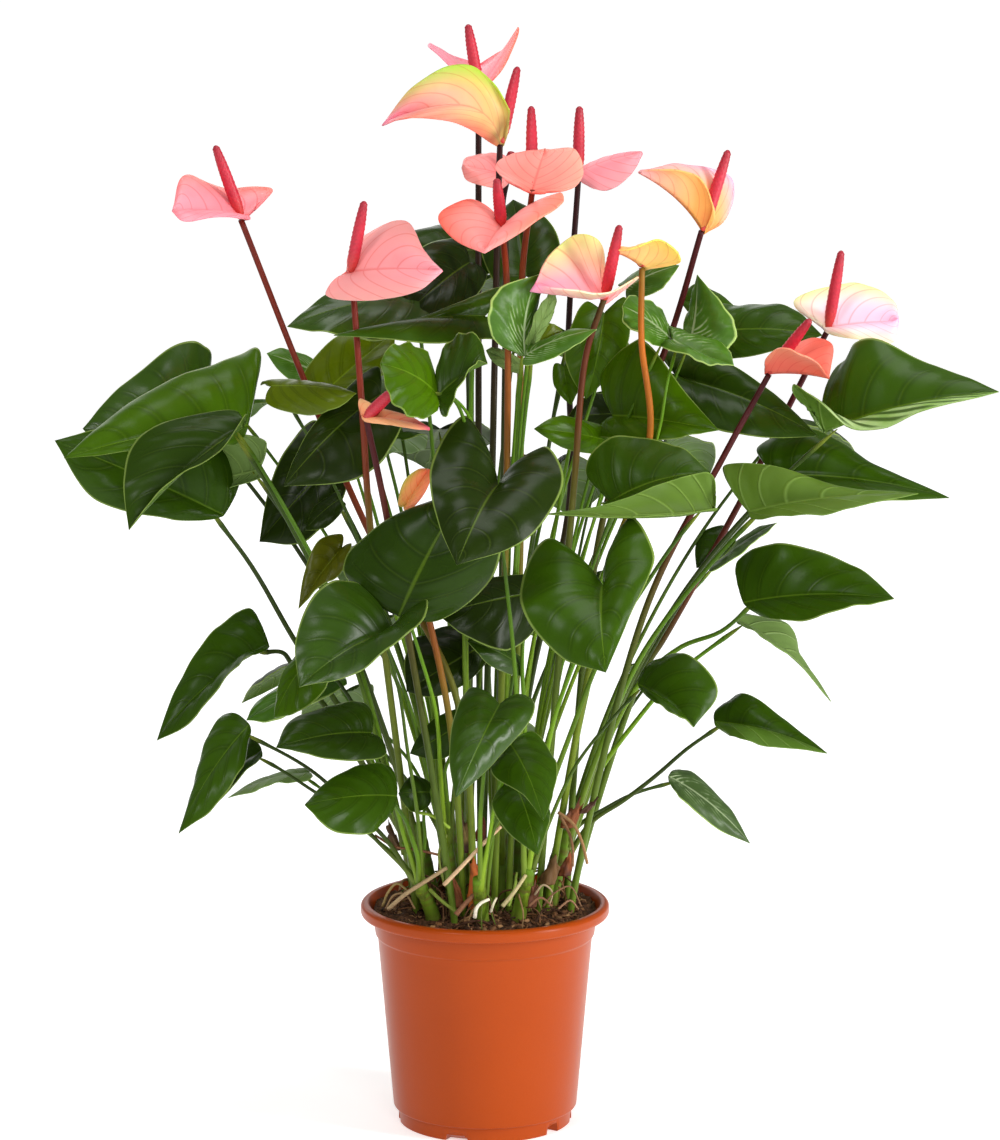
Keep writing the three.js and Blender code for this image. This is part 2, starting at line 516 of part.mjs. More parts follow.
// A stem that starts straight up out of its hole in the soil.
function rootedStem([x, y], points, radiusAt, steps, sides) {
  const bottom = new THREE.Vector3(x, y, soil.shoulderTop - soil.holeDepth);
  const out = new THREE.Vector3(x, y, soil.top + 2);
  const curve = new THREE.CatmullRomCurve3([bottom, out, ...points]);
  return stemSolid(curve, [0, ...evenStops(1 / (points.length + 1), steps)], radiusAt, sides);
}

// A six-sided hole that reaches as far above the soil as below it.
function stemHole([x, y], radius) {
  const depth = 2 * soil.holeDepth;
  const hole = new THREE.CylinderGeometry(radius, radius, depth, 6);
  hole.rotateX(Math.PI / 2);
  hole.translate(x, y, soil.shoulderTop - soil.holeDepth - clearance + depth / 2);
  return fromGeometry(hole);
}

// A leaf stalk rises steeply from the cane and then leans out to its blade, or takes a route of its own.
function petioleCurve(start, end, via) {
  if (via) return new THREE.CatmullRomCurve3([start, ...via.map(seen), end]);
  const control = new THREE.Vector3(
    THREE.MathUtils.lerp(start.x, end.x, petiole.lean),
    THREE.MathUtils.lerp(start.y, end.y, petiole.lean),
    THREE.MathUtils.lerp(start.z, end.z, petiole.rise),
  );
  return new THREE.QuadraticBezierCurve3(start, control, end);
}

const leafStops = [0, 0.5, 1, 2, 3, 4];
const spatheStops = [0, 1, 2, 2.5, 3, 4];

function makeLeaf([name, shoot, attach, tip, left, right, arch, via]) {
  const shape = bladeShape(attach, tip, left, right, arch, leafStations);
  const blade = bladeSolid(shape, leafThickness, leafStops, 1, 0);
  const [, [x, y, z]] = shootRows[shoot - 1];
  const curve = petioleCurve(new THREE.Vector3(x, y, z - 2), shape.midrib(0.08), via);
  const radius = taper(petiole.bottomRadius, petiole.topRadius);
  const stem = stemSolid(curve, evenStops(0, petiole.steps + (via ? 2 : 0)), radius, petiole.sides);
  return { name, shoot, blade, stem };
}

function makeShoot(number, leaves) {
  const [base, top] = shootRows[number - 1];
  const radius = taper(cane.bottomRadius, cane.topRadius);
  const body = rootedStem(base, [new THREE.Vector3(...top)], radius, cane.steps, cane.sides);
  return leaves.reduce((all, leaf) => all.add(leaf.blade).add(leaf.stem), body);
}

function makeStalk(row, end) {
  const radius = taper(stalk.bottomRadius, stalk.topRadius);
  return rootedStem(row.base, [...row.via.map(seen), end], radius, stalk.steps, stalk.sides);
}

function makeSpadix(start, end) {
  const curve = new THREE.LineCurve3(start, end);
  const { baseRadius, bellyRadius, tipRadius, belly } = spadix;
  const radius = (t) => {
    if (t < belly) return THREE.MathUtils.lerp(baseRadius, bellyRadius, t / belly);
    return THREE.MathUtils.lerp(bellyRadius, tipRadius, ((t - belly) / (1 - belly)) ** 3);
  };
  return stemSolid(curve, evenStops(0, spadix.steps), radius, spadix.sides);
}

function largestPiece(body) {
  return body.decompose().reduce((best, piece) => (piece.volume() > best.volume() ? piece : best));
}

// A flower: a spathe, the stalk under it and the spadix on it, each clear of the next.
function makeBloom(row, stalkRow) {
  const [attach, tip, left, right, arch, swell, spadixTip] = row;
  const shape = bladeShape(attach, tip, left, right, arch, spatheStations);
  const spathe = bladeSolid(shape, spatheThickness, spatheStops, 2, swell);
  const seat = shape.midrib((stalk.topRadius + 1) / shape.midrib(0).distanceTo(shape.midrib(1)));
  const along = seen(spadixTip).sub(seat).normalize();
  const lean = along.dot(shape.normal);
  const inner = shape.normal.clone().multiplyScalar(Math.sign(lean));
  const gap = spatheThickness / 2 + clearance;
  const room = bladeSolid(shape, spatheThickness + 2 * clearance, spatheStops, 2, swell);
  const rise = gap + clearance + spadix.baseRadius * Math.sqrt(1 - lean ** 2);
  const foot = seat.clone().addScaledVector(inner, rise);
  const head = seat.clone().addScaledVector(inner, -gap - 2 * clearance);
  const stalkBody = largestPiece(makeStalk(stalkRow, head).subtract(room));
  const spadixBody = largestPiece(makeSpadix(foot, seen(spadixTip)).subtract(room));
  return { spathe, stalk: stalkBody, spadix: spadixBody };
}

function toMesh(body, name, look) {
  const { numProp, vertProperties, triVerts } = body.getMesh();
  const positions = [];
  for (let i = 0; i < vertProperties.length; i += numProp) {
    positions.push(vertProperties[i], vertProperties[i + 1], vertProperties[i + 2]);
  }
  const geometry = new THREE.BufferGeometry();
  geometry.setAttribute("position", new THREE.Float32BufferAttribute(positions, 3));
  geometry.setIndex([...triVerts]);
  geometry.computeVertexNormals();
  const mesh = new THREE.Mesh(geometry, new THREE.MeshStandardMaterial(look));
  mesh.name = name;
  return mesh;
}

const looks = {
  pot: { color: 0xc05a33, roughness: 0.5, metalness: 0 },
  soil: { color: 0x4a2a20, roughness: 1, metalness: 0 },
  leaf: { color: 0x4e7a35, roughness: 0.35, metalness: 0 },
  stalk: { color: 0x6b3a34, roughness: 0.5, metalness: 0 },
  spathe: { color: 0xf0a59b, roughness: 0.35, metalness: 0 },
  spadix: { color: 0xc9414f, roughness: 0.5, metalness: 0 },
};

const group = new THREE.Group();
const number = (i) => String(i + 1).padStart(2, "0");

const leaves = leafRows.map(makeLeaf);
const blooms = bloomRows.map((row, i) => makeBloom(row, stalkRows[i]));
const holes = [
  ...shootRows.map(([base]) => stemHole(base, cane.bottomRadius + soil.caneRoom)),
  ...stalkRows.map(({ base }) => stemHole(base, stalk.bottomRadius + soil.stalkRoom)),
];

group.add(toMesh(makePot(), "pot", looks.pot));
group.add(toMesh(makeSoil(holes), "potting_soil", looks.soil));
shootRows.forEach((row, i) => {
  const own = leaves.filter((leaf) => leaf.shoot === i + 1);
  group.add(toMesh(makeShoot(i + 1, own), `shoot_${number(i)}`, looks.leaf));
});
blooms.forEach((bloom, i) => {
  const bud = i + 1 === blooms.length;
  group.add(toMesh(bloom.stalk, `bloom_stalk_${number(i)}`, looks.stalk));
  group.add(toMesh(bloom.spathe, `spathe_${number(i)}`, looks.spathe));
  if (!bud) group.add(toMesh(bloom.spadix, `spadix_${number(i)}`, looks.spadix));
});

export default group;
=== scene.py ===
import math
import random

import bpy
import numpy as np
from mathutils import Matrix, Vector, noise


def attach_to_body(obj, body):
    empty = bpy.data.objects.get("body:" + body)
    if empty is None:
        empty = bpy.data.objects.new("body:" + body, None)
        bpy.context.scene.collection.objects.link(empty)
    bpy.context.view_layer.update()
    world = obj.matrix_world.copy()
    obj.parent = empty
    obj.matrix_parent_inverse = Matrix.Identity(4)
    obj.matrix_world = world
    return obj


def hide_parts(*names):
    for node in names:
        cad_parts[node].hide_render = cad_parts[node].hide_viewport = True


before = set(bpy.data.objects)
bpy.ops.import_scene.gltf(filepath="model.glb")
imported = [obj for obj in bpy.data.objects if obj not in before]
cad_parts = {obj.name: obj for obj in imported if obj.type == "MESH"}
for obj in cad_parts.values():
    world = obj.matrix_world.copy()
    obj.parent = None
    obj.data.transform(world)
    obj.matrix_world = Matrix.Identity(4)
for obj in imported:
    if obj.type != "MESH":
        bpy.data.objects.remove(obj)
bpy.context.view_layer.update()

# Sizes and places are in millimetres, as in the solids. The plant stands on z = 0 and its front faces -y.
MM = 0.001
EYE = np.array([10.3, -2900.0, 893.0])
PITCH = 9.96
FOCAL = 137.65

POT = {
    "height": 154, "rim_radius": 85, "rim_depth": 8.5, "band_top": 77, "band_foot": 75, "band_bottom": 132,
    "body_top": 73.5, "body_foot": 63, "foot_radius": 59.5, "foot_height": 10, "wall": 2.4, "floor": 3,
    "shelf": 51,
}
# Openings in the edge of the pot's foot: where they face and half their width in degrees, and height.
POT_NOTCHES = [[251, 8, 4.5], [321, 6, 6.5], [188, 4, 6], [352, 4, 6], [75, 8, 5], [130, 6, 6]]
SOIL = {
    "edge_top": 141, "edge_radius": 72.6, "shoulder_radius": 55, "shoulder_top": 144, "top": 146,
    "hole": 12,
}
SOIL_TOP = {"edge": 149.5, "middle": 151.5}
LEAF_THICKNESS = 0.6
SPATHE_THICKNESS = 1.0
SHEATH_THICKNESS = 0.5
CLEARANCE = 0.3
# The radius of stems at their ends. A petiole is a leaf's own stalk, and rings stand round a cane.
CANE = {"bottom": 5.5, "top": 4.0, "rings": 26, "ring_height": 0.35}
PETIOLE = {"bottom": 2.2, "top": 1.35, "lean": 0.3, "rise": 0.62, "blade": 0.08, "sway": 3.5}
STALK = {"bottom": 2.4, "top": 2.0}
SPADIX = {"base": 1.8, "belly": 4.0, "tip": 2.0, "belly_at": 0.25, "sunk": 1.5}
FLORETS = {"round": 4, "along": 46, "height": 0.42}
# A leaf's veins: how many there are for each step along its margin, how far they lean, and how they bend.
VEINS = {"count": 1.9, "lean": 0.55, "bend": 1.6}
# The height of a leaf's relief, as shares of its half's width. Only the puff is in millimetres.
RELIEF = {"arch": 0.1, "puff": 2.8, "wave": 0.055, "ripple": 0.016, "curl": 0.11}
SPATHE_RELIEF = 0.4

# A point of a leaf or a flower is [x, z, depth]: x and z on the upright plane through the pot's axis, as
# seen from EYE, and depth is how far behind that plane it lies. A shoot is [base x, base y], [top x, y, z].
SHOOTS = [
    [[-36, 14], [-46, 16, 205]],
    [[-42, -12], [-54, -14, 200]],
    [[-20, 30], [-26, 34, 215]],
    [[-20, -22], [-26, -30, 205]],
    [[-10, 6], [-12, 8, 230]],
    [[10, -8], [12, -10, 230]],
    [[20, 14], [26, 16, 225]],
    [[26, -16], [34, -22, 215]],
    [[22, -42], [30, -52, 190]],
    [[-2, -48], [-4, -62, 185]],
    [[-34, -38], [-44, -48, 180]],
    [[44, -4], [56, -6, 205]],
    [[42, 22], [54, 26, 195]],
    [[6, 44], [8, 54, 210]],
]

# A leaf is its name, shoot, kind, base, tip, left margin, right margin and arch, and some have the route of
# their stalk. A margin is a depth and three points, or a depth and only its widest point. The depth is the
# widest point's, and another point may have its own.
LEAVES = [
  ["left_glossy", 1, "glossy", [-195, 492, 45], [-270, 480, 20],
    [30, [-196, 462], [-222, 458], [-252, 462]], [60, [-183, 532], [-202, 538], [-243, 509]], 8],
  ["left_light", 2, "bright", [-159, 482, -20], [-283, 460, -60],
    [-45, [-166, 470], [-198, 473], [-240, 465]], [0, [-152, 536], [-186, 524], [-238, 500]], 8],
  ["left_drooping", 2, "deep", [-162, 481, -45], [-240, 411, -90],
    [-75, [-160, 490], [-182, 461], [-214, 443]], [-60, [-166, 492], [-234, 473], [-243, 445]], 8],
  ["left_dark", 1, "green", [-176, 421, 15], [-289, 472, 0], [-5, [-182, 419], [-214, 419], [-264, 434]],
    [20, [-164, 450], [-200, 482], [-258, 480]], 6, [[-95, 280, 24], [-127, 334, 24], [-160, 388, 18]]],
  ["left_pale", 1, "pale", [-152, 452, 0], [-205, 440, 40], [15, [-172, 476]], [15, [-172, 440]], 5],
  ["left_inner", 3, "dark", [-105, 455, 60], [-152, 403, 20], [30, [-92, 455], [-100, 425], [-122, 403]],
    [45, [-112, 486], [-134, 466], [-147, 432]], 6],
  ["left_mid_dark", 4, "dark", [-70, 503, -15], [-135, 441, -75], [-55, [-52, 498], [-60, 474], [-82, 447]],
    [-35, [-72, 522], [-104, 496], [-127, 463]], 8],
  ["left_mid_olive", 3, "olive", [-143, 509, -20], [-86, 504, -55], [-15, [-124, 513]], [-45, [-118, 490]],
    3],
  ["left_mid_upright", 3, "olive", [-108, 504, 10], [-60, 545, 45], [25, [-105, 538]], [15, [-74, 512]], 4],
  ["left_small_tip", 3, "young", [-112, 518, 60], [-146, 531, 50], [55, [-128, 512]], [65, [-126, 532]], 2],
  ["upper_left_glossy", 5, "glossy", [-40, 570, 0], [-132, 549, -50],
    [-45, [-26, 556], [-62, 541], [-102, 543]], [0, [-30, 590], [-70, 588], [-108, 569]], 8],
  ["upper_mid_band", 5, "green", [0, 556, -35], [-101, 543, -95], [-70, [14, 545], [-12, 540], [-60, 541]],
    [-45, [12, 575], [-18, 565], [-60, 549]], 6],
  ["upper_dark", 5, "dark", [-10, 592, 27], [-55, 555, -18], [-8, [-15, 562]], [12, [-46, 600]], 6],
  ["upper_dark_back", 5, "deep", [-4, 600, 70], [-80, 588, 70], [50, [-30, 577]], [90, [-24, 620]], 6],
  ["upper_upright", 5, "deep", [28, 583, 45], [19, 634, 100], [60, [-2, 598]], [60, [50, 605]], 4],
  ["young_folded", 6, "young", [27, 529, -88], [36, 584, -82], [-104, [10, 538], [3, 560], [14, 576]],
    [-66, [31, 538], [35, 558], [38, 576]], -5],
  ["upper_edge", 6, "young", [28, 530, -88], [75, 547, -116], [-84, [44, 542]], [-106, [50, 530]], 3],
  ["upper_small", 6, "pale", [25, 522, -50], [1, 533, -35], [-45, [12, 521]], [-40, [13, 533]], 1],
  ["twisted", 7, "young", [126, 540, -20], [167, 523, -50], [-5, [124, 549], [146, 543], [162, 536]],
    [-45, [118, 537], [138, 529], [154, 524]], -3,
    [[60, 310, -8], [96, 400, -20], [117, 475, -34], [121, 506, -40]]],
  ["twisted_star", 7, "young", [124, 541, -14], [92, 563, -40], [-44, [118, 536], [106, 541], [94, 550]],
    [0, [122, 552], [112, 564], [98, 570]], 2],
  ["twisted_right", 13, "young", [137, 538, -6], [142, 584, 8], [10, [133, 546], [136, 562], [139, 574]],
    [-20, [152, 528], [168, 546], [156, 566]], -3],
  ["right_back_dark", 7, "deep", [130, 514, 35], [224, 475, 0], [35, [118, 532], [152, 529], [192, 506]],
    [0, [118, 518], [140, 490], [180, 475]], 8],
  ["mid_bright", 7, "bright", [86, 489, 5], [157, 479, -45], [0, [78, 520], [102, 541], [136, 503]],
    [-30, [74, 478], [100, 474], [135, 476]], 6],
  ["upper_right_top", 7, "green", [152, 545, 70], [226, 543, 45], [85, [148, 562], [174, 565], [208, 560]],
    [55, [148, 530], [172, 528], [204, 536]], 6],
  ["upper_right_far", 7, "green", [165, 552, 100], [130, 567, 110], [90, [150, 546]], [115, [150, 576]], 4],
  ["striped_edge", 6, "young", [95, 575, 60], [130, 590, 45], [65, [104, 588]], [45, [114, 572]], 3],
  ["bright_upright", 6, "bright", [80, 558, 37], [68, 500, 30], [32, [97, 543]], [22, [54, 538]], 6],
  ["small_hanging", 6, "bright", [53, 522, 50], [58, 496, 35], [40, [63, 514]], [42, [46, 512]], 3],
  ["mid_band", 7, "bright", [82, 472, 0], [33, 480, -35], [-20, [60, 465]], [-10, [60, 488]], 4],
  ["mid_dark", 7, "dark", [96, 490, 63], [55, 487, 38], [43, [76, 476]], [58, [76, 504]], 4],
  ["mid_right_dark", 8, "green", [85, 430, -60], [152, 450, -70], [-40, [68, 452], [88, 474], [130, 467]],
    [-85, [78, 428], [100, 426], [135, 441]], 8],
  ["mid_right_light", 8, "light", [155, 424, -102], [40, 422, -132],
    [-94, [153, 448], [128, 446], [88, 430]], [-116, [157, 426], [128, 421], [85, 420]], 3],
  ["centre_heart", 9, "dark", [9, 441, -126], [-19, 387, -191], [-136, [38, 466], [53, 446], [29, 405]],
    [-141, [-14, 488], [-37, 452], [-31, 415]], 10],
  ["front_dark", 4, "deep", [-58, 352, -120], [-12, 440, -105], [-98, [-86, 368], [-97, 392], [-66, 419]],
    [-120, [-32, 349], [5, 378], [10, 412]], 8],
  ["front_left_glossy", 11, "glossy", [-63, 340, -128], [-126, 303, -173],
    [-163, [-38, 362], [-50, 341], [-86, 313]], [-133, [-84, 374], [-112, 370], [-128, 336]], 8],
  ["left_low_big", 1, "green", [-146, 331, 25], [-223, 266, -15],
    [-15, [-150, 327], [-170, 316], [-196, 280]], [30, [-160, 357], [-182, 342], [-207, 307]], 8,
    [[-100, 280, 22], [-126, 318, 26], [-136, 328, 26]]],
  ["left_low_second", 11, "green", [-160, 277, -45], [-209, 201, -85],
    [-75, [-160, 268], [-166, 246], [-190, 216]], [-45, [-174, 286], [-191, 266], [-200, 230]], 6],
  ["left_low_third", 11, "deep", [-152, 259, -20], [-204, 209, -30],
    [-40, [-152, 254], [-166, 240], [-188, 218]], [-10, [-158, 268], [-168, 252], [-188, 228]], 4],
  ["left_low_sliver", 11, "pale", [-120, 243, 40], [-175, 226, 60],
    [25, [-118, 240], [-138, 237], [-158, 231]], [60, [-119, 246], [-134, 245], [-155, 238]], 4],
  ["left_mid_striped", 2, "young", [-95, 309, 10], [-162, 280, -15],
    [-20, [-94, 305], [-112, 297], [-142, 281]], [10, [-98, 315], [-124, 311], [-154, 295]], 4],
  ["left_mid_green", 2, "bright", [-112, 330, -25], [-143, 282, -55],
    [-55, [-102, 330], [-108, 305], [-126, 286]], [-30, [-114, 338], [-134, 318], [-142, 296]], 5],
  ["left_low_front", 11, "deep", [-77, 271, -75], [-142, 261, -115],
    [-105, [-66, 259], [-88, 252], [-118, 257]], [-75, [-80, 291], [-102, 292], [-133, 279]], 6],
  ["left_low_green", 11, "green", [-60, 227, -85], [-123, 221, -130],
    [-125, [-65, 213], [-84, 200], [-109, 207]], [-85, [-64, 246], [-83, 250], [-110, 235]], 6],
  ["front_low_left", 10, "glossy", [10, 291, -135], [-20, 226, -190],
    [-140, [30, 299], [33, 285], [8, 252]], [-150, [-8, 303], [-21, 283], [-24, 250]], 8],
  ["front_low_mid", 10, "green", [17, 264, -115], [40, 210, -160], [-120, [34, 272], [48, 251], [47, 230]],
    [-135, [10, 257], [5, 243], [26, 228]], 6],
  ["front_low_bottom", 10, "green", [20, 236, -95], [36, 186, -135],
    [-105, [33, 238], [45, 219], [42, 203]], [-110, [10, 234], [5, 220], [17, 201]], 6],
  ["front_right_big", 9, "green", [80, 373, -125], [82, 313, -190],
    [-135, [98, 420], [113, 394], [96, 347]], [-145, [42, 406], [24, 362], [52, 324]], 10],
  ["right_upper", 12, "green", [228, 477, -20], [345, 505, -60], [2, [232, 521], [252, 541], [300, 525]],
    [-55, [208, 511], [250, 481], [300, 494]], 8],
  ["right_middle_dark", 12, "green", [195, 448, 21], [313, 433, -4],
    [31, [183, 468], [216, 481], [263, 457]], [-14, [184, 444], [215, 430], [265, 431]], 8],
  ["right_middle_light", 12, "light", [178, 423, -35], [292, 436, -80],
    [-30, [161, 454], [186, 456], [240, 441]], [-75, [180, 419], [212, 421], [252, 427]], 6],
  ["right_small_dark", 13, "deep", [165, 405, 60], [143, 385, 50], [50, [160, 393]], [62, [147, 410]], 2],
  ["right_sliver", 13, "grey", [153, 386, 80], [197, 416, 100], [95, [170, 404]], [80, [176, 398]], 2],
  ["right_lower_bright", 13, "green", [175, 361, -30], [277, 364, -70],
    [-25, [171, 391], [199, 401], [249, 387]], [-70, [185, 354], [210, 349], [248, 357]], 8,
    [[100, 300, 4], [130, 328, -6], [160, 342, -20]]],
  ["right_lower_narrow", 13, "pale", [169, 350, 20], [235, 293, 10],
    [40, [178, 354], [205, 346], [217, 322]], [0, [173, 346], [189, 338], [211, 321]], 6],
  ["right_low_dark", 9, "green", [104, 305, -60], [142, 275, -95],
    [-60, [112, 319], [133, 328], [158, 302]], [-90, [108, 299], [118, 291], [134, 283]], 5],
  ["right_low_mid", 13, "green", [156, 279, -20], [233, 257, -50],
    [-15, [161, 289], [174, 299], [203, 281]], [-50, [161, 273], [176, 266], [204, 261]], 6,
    [[72, 208, 10], [95, 225, 2], [120, 245, -8], [140, 262, -14]]],
  ["right_low_bottom", 13, "grey", [125, 241, 40], [181, 194, 30], [50, [130, 246], [144, 242], [166, 220]],
    [25, [126, 236], [134, 226], [156, 206]], 5, [[66, 208, 22], [80, 215, 24], [100, 228, 32]]],
  ["centre_low_dark", 9, "dark", [32, 368, -50], [-32, 353, -80], [-75, [38, 350], [14, 328], [-14, 339]],
    [-55, [42, 378], [4, 378], [-18, 368]], 6],
  ["centre_low_glossy", 10, "glossy", [24, 318, -50], [-12, 335, -70], [-65, [5, 317]], [-55, [6, 336]], 4],
  ["centre_left_dark", 4, "dark", [-4, 330, -25], [-53, 300, -55], [-45, [-22, 300]], [-30, [-44, 340]], 6],
  ["centre_low_left", 4, "deep", [-14, 280, -40], [-51, 257, -50], [-40, [-22, 257]], [-40, [-34, 281]], 4],
  ["left_low_small", 11, "deep", [-38, 230, -45], [-59, 229, -60], [-55, [-48, 216]], [-45, [-48, 242]], 3],
  ["olive_young", 4, "bronze", [-97, 398, -60], [-126, 357, -85],
    [-80, [-90, 402], [-98, 382], [-113, 371]], [-65, [-96, 408], [-112, 404], [-122, 381]], 4],
  ["left_edge_small", 3, "dark", [-98, 432, 10], [-121, 411, 0], [0, [-104, 415]], [15, [-110, 431]], 2],
  ["back_left_high", 3, "green", [-75, 470, 110], [-110, 445, 185], [108, [-112, 470]], [142, [-42, 470]],
    6],
  ["back_left_middle", 3, "deep", [-70, 395, 100], [-95, 372, 160], [100, [-102, 396]], [125, [-48, 396]],
    5],
  ["back_left_low", 3, "deep", [-80, 345, 105], [-95, 320, 165], [108, [-108, 346]], [125, [-58, 346]], 5],
  ["back_top", 14, "deep", [-15, 575, 120], [-30, 548, 200], [130, [-52, 574]], [142, [18, 574]], 6],
  ["back_centre", 14, "dark", [0, 440, 130], [5, 405, 205], [146, [-36, 438]], [144, [38, 438]], 6],
  ["back_right_low", 14, "deep", [68, 375, 120], [75, 345, 190], [136, [36, 374]], [132, [103, 374]], 6],
  ["back_low", 14, "deep", [10, 270, 115], [15, 240, 170], [127, [-14, 270]], [126, [36, 270]], 4],
  ["back_right_high", 7, "deep", [100, 500, 115], [150, 478, 180], [152, [84, 500]], [104, [134, 502]], 6],
  ["back_right_middle", 7, "green", [120, 470, 90], [150, 445, 150], [112, [98, 470]], [84, [150, 470]], 5],
  ["back_upper_left", 3, "deep", [-60, 515, 120], [-95, 495, 190], [117, [-100, 511]], [150, [-34, 511]],
    6],
  ["back_upper_right", 14, "green", [55, 545, 130], [80, 520, 205], [157, [25, 540]], [133, [95, 540]], 6],
  ["back_mid_left", 14, "dark", [-30, 480, 140], [-38, 452, 215], [150, [-69, 474]], [160, [5, 474]], 6],
  ["back_mid_right", 14, "deep", [45, 455, 150], [60, 420, 220], [172, [12, 448]], [156, [84, 448]], 6],
  ["back_far_left", 3, "green", [-165, 495, 60], [-205, 470, 105], [53, [-191, 490]], [85, [-155, 490]], 5],
  ["back_far_right", 13, "deep", [200, 485, 75], [250, 462, 115], [105, [192, 480]], [61, [227, 480]], 5],
  ["back_low_left", 3, "deep", [-95, 300, 100], [-120, 272, 150], [100, [-120, 294]], [120, [-80, 294]], 5],
  ["back_low_right", 13, "deep", [115, 315, 85], [140, 288, 130], [105, [101, 310]], [83, [139, 310]], 5],
  ["back_lower_centre", 14, "dark", [30, 365, 140], [40, 335, 205], [158, [0, 359]], [148, [64, 359]], 6],
  ["back_low_far_left", 3, "deep", [-125, 318, 70], [-165, 292, 100], [60, [-145, 313]], [92, [-121, 313]],
    4],
  ["crumpled_left", 5, "bright", [-32, 503, -128], [-70, 524, -146],
    [-160, [-32, 492], [-52, 487], [-64, 502]], [-112, [-34, 514], [-48, 537], [-64, 534]], 5,
    [[-13, 330, -50], [-11, 440, -92], [-13, 486, -112], [-20, 500, -124]]],
  ["crumpled_right", 5, "deep", [-31, 502, -128], [2, 524, -116], [-104, [-32, 520], [-20, 543], [-5, 542]],
    [-138, [-27, 488], [-18, 505], [-6, 525]], 4,
    [[-12, 332, -50], [-10, 442, -92], [-12, 487, -112], [-20, 500, -124]]],
  ["young_wing", 6, "pale", [29, 533, -80], [47, 577, -74], [-84, [34, 556]], [-70, [44, 556]], 1],
  ["young_lime", 6, "olive", [29, 533, -66], [52, 546, -56], [-60, [38, 549]], [-68, [45, 538]], 2],
]

# A flower is its base, tip, left margin, right margin, arch, swell and the tip of its spadix.
BLOOMS = [
  [[-4, 708, 48], [-3, 724, 128], [83, [-16, 716], [-37, 737], [-24, 730]],
    [83, [8, 716], [24, 747], [12, 733]], 0, -2, [-11, 750, 53]],
  [[11, 668, -1], [-68, 683, -41], [-14, [15, 697, -16], [-12, 723], [-48, 707]],
    [-56, [4, 672], [-22, 686], [-50, 688]], -34, -4, [22, 722, 24]],
  [[31, 638, -48], [40, 667, -38], [-40, [58, 641], [66, 653], [60, 667]],
    [-40, [14, 647], [7, 656], [20, 665]], 0, -3, [31, 696, -16]],
  [[18, 648, 24], [-15, 655, 14], [9, [12, 642], [0, 643], [-12, 647]],
    [34, [12, 664], [0, 664], [-12, 662]], 2, 3, [18, 666, 18]],
  [[12, 616, -50], [0, 598, -120], [-75, [48, 637], [51, 632], [24, 612]],
    [-80, [-7, 634], [-31, 622], [-16, 605]], 2, 2, [8, 648, -60]],
  [[60, 650, 50], [105, 664, 40], [75, [66, 654], [78, 658], [94, 663]],
    [25, [66, 645], [81, 640], [97, 650]], 3, 2, [63, 696, 50]],
  [[146, 611, -14], [102, 652, -50], [-44, [151, 630, -34], [143, 648], [117, 654]],
    [10, [162, 624, 2], [163, 648], [131, 657]], 5, 3, [162, 667, -15]],
  [[227, 547, 28], [277, 552, 18], [53, [207, 566], [244, 578], [273, 567]],
    [8, [231, 544], [252, 540], [273, 538]], 2, 3, [238, 600, 13]],
  [[188, 517, -5], [231, 514, -30], [15, [194, 529], [213, 540], [232, 538]],
    [-44, [189, 528], [203, 535], [220, 527]], 2, 0, [218, 554, -22]],
  [[-160, 620, -30], [-208, 626, -70], [-70, [-156, 621], [-178, 623], [-202, 621]],
    [-15, [-141, 641], [-172, 643], [-200, 650]], 3, 2, [-179, 670, -35]],
  [[-91, 585, -70], [-28, 586, -115], [-60, [-86, 604], [-54, 621], [-40, 599]],
    [-105, [-106, 571], [-72, 567], [-43, 574]], 3, 2, [-80, 633, -85]],
  [[82, 567, -50], [34, 577, -95], [-85, [103, 582], [80, 572], [54, 574]],
    [-45, [77, 606], [62, 611], [42, 594]], 0, -6, [90, 617, -75]],
  [[107, 587, -46], [83, 600, -66], [-24, [129, 597, -38], [112, 604], [94, 600]],
    [-68, [131, 593, -58], [116, 606], [95, 600]], -2, -4, [105, 601, -44]],
  [[-82, 487, -107], [-37, 479, -137], [-107, [-84, 500], [-72, 495], [-48, 487]],
    [-130, [-80, 485], [-66, 483], [-46, 480]], 2, 2, [-60, 507, -136]],
  [[-53, 427, -87], [-36, 452, -97], [-87, [-54, 444]], [-102, [-42, 434]], 1, 2, [-46, 445, -110]],
]

# A flower's stalk is its [x, y] in the soil and the points that it passes.
STALKS = [
  [[-3, 22], [[-4, 400, 36], [-4, 640, 46]]],
  [[-2, -6], [[4, 400, -4], [9, 630, 0]]],
  [[16, -24], [[24, 400, -18], [25, 581, -24]]],
  [[8, 26], [[12, 400, 20], [14, 600, 18], [12, 630, 38]]],
  [[6, -32], [[14, 400, -48], [15, 576, -72]]],
  [[14, 34], [[30, 300, 60], [57, 430, 75], [56, 541, 60]]],
  [[56, 8], [[80, 420, 2], [125, 545, 10]]],
  [[60, 30], [[106, 311, 46], [122, 338, 46], [174, 434, 44], [205, 497, 40]]],
  [[58, -18], [[110, 360, -22], [160, 460, -16]]],
  [[-8, -38], [[-20, 298, -66], [-79, 412, -30], [-119, 508, 0]]],
  [[-46, -24], [[-77, 411, -66], [-82, 490, -86]]],
  [[36, -30], [[60, 440, -46], [68, 530, -48]]],
  [[42, -18], [[84, 380, -32], [111, 475, -42], [105, 540, -52]]],
  [[-20, -48], [[-66, 420, -92]]],
  [[-14, -36], [[-24, 280, -70], [-44, 380, -80]]],
]


# Where a blade's three side points lie: a share of the widest side step, and a place along the midrib.
LEAF_STATIONS = [[0.6, -0.22], [1, 0.2], [0.7, 0.6]]
SPATHE_STATIONS = [[0.5, -0.14], [1, 0.25], [0.66, 0.74]]


def seen(point):
    x, z, depth = point
    return (np.array([x, 0.0, z]) - EYE) * (1 - depth / EYE[1]) + EYE


